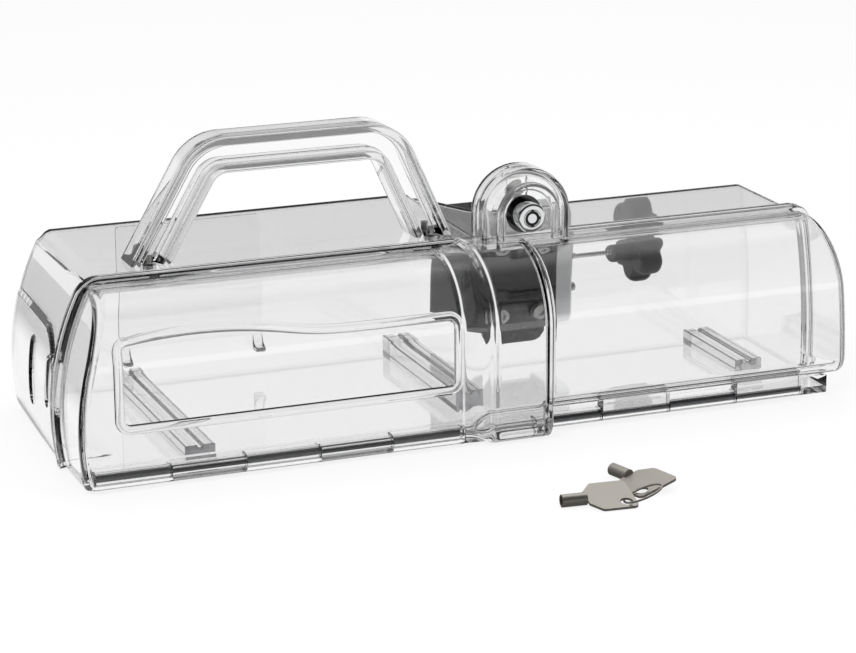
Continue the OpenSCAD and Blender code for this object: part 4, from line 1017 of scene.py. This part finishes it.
def white_to_eye(name, hex_colour, to_camera, to_plastic):
    """Diffuse floor, mixed with plain white by to_camera for camera rays, and by to_plastic for bent and
    mirrored rays that land behind the box's front or far ahead of it. Elsewhere those rays meet a grey of
    MIRRORED_GREY, to which rays through plastic add PASSED_GREY."""
    made, tree = new_finish(name)
    rays = add_node(tree, "ShaderNodeLightPath").outputs
    passed = rays["Is Transmission Ray"]
    bent = add_node(tree, "ShaderNodeMath", {"operation": "MAXIMUM"}, n0=passed, n1=rays["Is Glossy Ray"])
    place = add_node(tree, "ShaderNodeTexCoord").outputs["Object"]
    part = add_node(tree, "ShaderNodeSeparateXYZ", Vector=place).outputs
    zones = (("Y", -0.055, -0.045, to_plastic), ("Y", -0.33, -0.36, to_plastic), ("X", -0.30, -0.26, 1.0))
    near, ahead, across = [add_node(tree, "ShaderNodeMapRange", Value=part[axis], n1=start, n2=end, n3=0.0,
                                    n4=high) for axis, start, end, high in zones]
    zone = add_node(tree, "ShaderNodeMath", {"operation": "ADD"}, n0=near, n1=ahead)
    for factor in (across, bent):
        zone = add_node(tree, "ShaderNodeMath", {"operation": "MULTIPLY"}, n0=zone, n1=factor)
    seen = add_node(tree, "ShaderNodeMath", {"operation": "MULTIPLY"}, n0=rays["Is Camera Ray"], n1=to_camera)
    share = add_node(tree, "ShaderNodeMath", {"operation": "MAXIMUM"}, n0=zone, n1=seen)
    grey = add_node(tree, "ShaderNodeMath", {"operation": "MULTIPLY_ADD"}, n0=passed, n1=PASSED_GREY,
                    n2=MIRRORED_GREY)
    body = add_node(tree, "ShaderNodeBsdfPrincipled", Base_Color=linear(hex_colour), Roughness=0.9,
                    Specular_IOR_Level=0.0)
    white, dim = [add_node(tree, "ShaderNodeEmission", Color=linear("#FFFFFF"), Strength=strength)
                  for strength in (1.0, grey)]
    base = add_node(tree, "ShaderNodeMixShader", n0=bent, n1=body, n2=dim)
    mixed = add_node(tree, "ShaderNodeMixShader", n0=share, n1=base, n2=white)
    add_node(tree, "ShaderNodeOutputMaterial", Surface=mixed)
    return made


FLOOR_HALF, FLOOR_DROP = 3.0, 0.0004
floor_mesh = bpy.data.meshes.new("floor")
floor_mesh.from_pydata([(x * FLOOR_HALF, y * FLOOR_HALF, 0) for x, y in ((-1, -1), (1, -1), (1, 1), (-1, 1))],
                       [], [(0, 1, 2, 3)])
floor = bpy.data.objects.new("floor", floor_mesh)
bpy.context.scene.collection.objects.link(floor)
floor_mesh.materials.append(white_to_eye("floor_white", "#F2F2F2", 0.86, 0.98))
floor.location.z = -FLOOR_DROP
floor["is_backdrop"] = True
print("floor", 2 * FLOOR_HALF, "m wide")

# %% World
# Each range reads one part of a ray's direction, as (axis, start, end, value before, value after). What
# passes through plastic is white up to 19 degrees above level (Z 0.32) and dim higher up. What is mirrored
# is white up to 8 degrees (Z 0.14) and dark higher up, with a soft box overhead that only rays going
# backwards meet. In front of the box and to its left both are dimmer.
DARK, DIM, FRONT, OVERHEAD, EVEN = 0.12, 0.28, 0.36, 0.9, 0.55
RANGES = {
    "passed_on": ("Z", 0.32, 0.55, 1.0, DIM), "mirrored": ("Z", 0.14, 0.24, 1.0, DARK),
    "behind": ("Y", -0.15, 0.4, FRONT, 1.0), "beside": ("X", -0.6, -0.15, FRONT, 1.0),
    "above": ("Z", 0.45, 0.75, 0.0, OVERHEAD), "backwards": ("Y", -0.1, 0.2, 0.0, 1.0),
}

world = bpy.data.worlds.new("studio")
bpy.context.scene.world = world
world.use_nodes = True
tree = world.node_tree
tree.nodes.clear()
rays = add_node(tree, "ShaderNodeLightPath").outputs
passed = rays["Is Transmission Ray"]
bent = add_node(tree, "ShaderNodeMath", {"operation": "MAXIMUM"}, n0=passed, n1=rays["Is Glossy Ray"])
unbent = add_node(tree, "ShaderNodeMath", {"operation": "SUBTRACT"}, n0=1.0, n1=passed)
way = add_node(tree, "ShaderNodeTexCoord").outputs["Generated"]
part = add_node(tree, "ShaderNodeSeparateXYZ", Vector=way).outputs
level = {name: add_node(tree, "ShaderNodeMapRange", Value=part[axis], n1=start, n2=end, n3=before, n4=after)
         for name, (axis, start, end, before, after) in RANGES.items()}
room = add_node(tree, "ShaderNodeMix", {"data_type": "FLOAT"}, Factor=passed, n2=level["mirrored"],
                n3=level["passed_on"])
for factor in (level["behind"], level["beside"]):
    room = add_node(tree, "ShaderNodeMath", {"operation": "MULTIPLY"}, n0=room, n1=factor)
soft_box = level["above"]
for factor in (level["backwards"], unbent):
    soft_box = add_node(tree, "ShaderNodeMath", {"operation": "MULTIPLY"}, n0=soft_box, n1=factor)
room = add_node(tree, "ShaderNodeMath", {"operation": "ADD"}, n0=room, n1=soft_box)
even, white, studio = [add_node(tree, "ShaderNodeBackground", Color=linear("#FFFFFF"), Strength=strength)
                       for strength in (EVEN, 1.0, room)]
mixed = add_node(tree, "ShaderNodeMixShader", n0=bent, n1=even, n2=studio)
mixed = add_node(tree, "ShaderNodeMixShader", n0=rays["Is Camera Ray"], n1=mixed, n2=white)
add_node(tree, "ShaderNodeOutputWorld", Surface=mixed)
print("world has", len(tree.nodes), "nodes")


# %% Lamps
def soft_lamp(name, where, at, size, watts):
    """A square area lamp that faces the point at."""
    lamp = bpy.data.lights.new(name, "AREA")
    lamp.shape, lamp.size, lamp.energy = "SQUARE", size, watts
    made = bpy.data.objects.new(name, lamp)
    made.location = where
    made.rotation_euler = (Vector(at) - Vector(where)).to_track_quat("-Z", "Y").to_euler()
    made.visible_glossy = made.visible_transmission = False
    bpy.context.scene.collection.objects.link(made)


BOX_MIDDLE = (0, 0, 0.05)
soft_lamp("key_lamp", (-0.9, -0.9, 1.5), BOX_MIDDLE, 0.9, 16)
soft_lamp("fill_lamp", (1.3, -0.8, 0.9), BOX_MIDDLE, 1.2, 8)
soft_lamp("top_lamp", (0.1, 0.5, 1.6), BOX_MIDDLE, 1.0, 10)

# %% Camera, solved from the photo's straight edges
EYE = Vector((-0.58669, -1.49564, 0.52796))
LOOK = Vector((-0.00341, 0.0, 0.0557))
FOCAL_PX, WIDTH_PX, SENSOR_MM, ROLL = 3015.46, 856, 36, math.radians(-0.31)
cam_data = bpy.data.cameras.new("camera")
cam_data.sensor_fit, cam_data.sensor_width = "HORIZONTAL", SENSOR_MM
cam_data.lens = FOCAL_PX / WIDTH_PX * SENSOR_MM
cam = bpy.data.objects.new("camera", cam_data)
aim = (LOOK - EYE).to_track_quat("-Z", "Y").to_matrix().to_4x4() @ Matrix.Rotation(ROLL, 4, "Z")
cam.matrix_world = Matrix.Translation(EYE) @ aim
cam_data.clip_start, cam_data.clip_end = 0.05, 20
bpy.context.scene.collection.objects.link(cam)
bpy.context.scene.camera = cam
print("lens", round(cam_data.lens, 2), "mm")

# %% Settings and last line
scene = bpy.context.scene
scene.view_settings.view_transform = "Standard"
scene.cycles.max_bounces = 32
scene.cycles.transmission_bounces = 32
scene.cycles.glossy_bounces = 8
scene.cycles.transparent_max_bounces = 16
low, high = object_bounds()
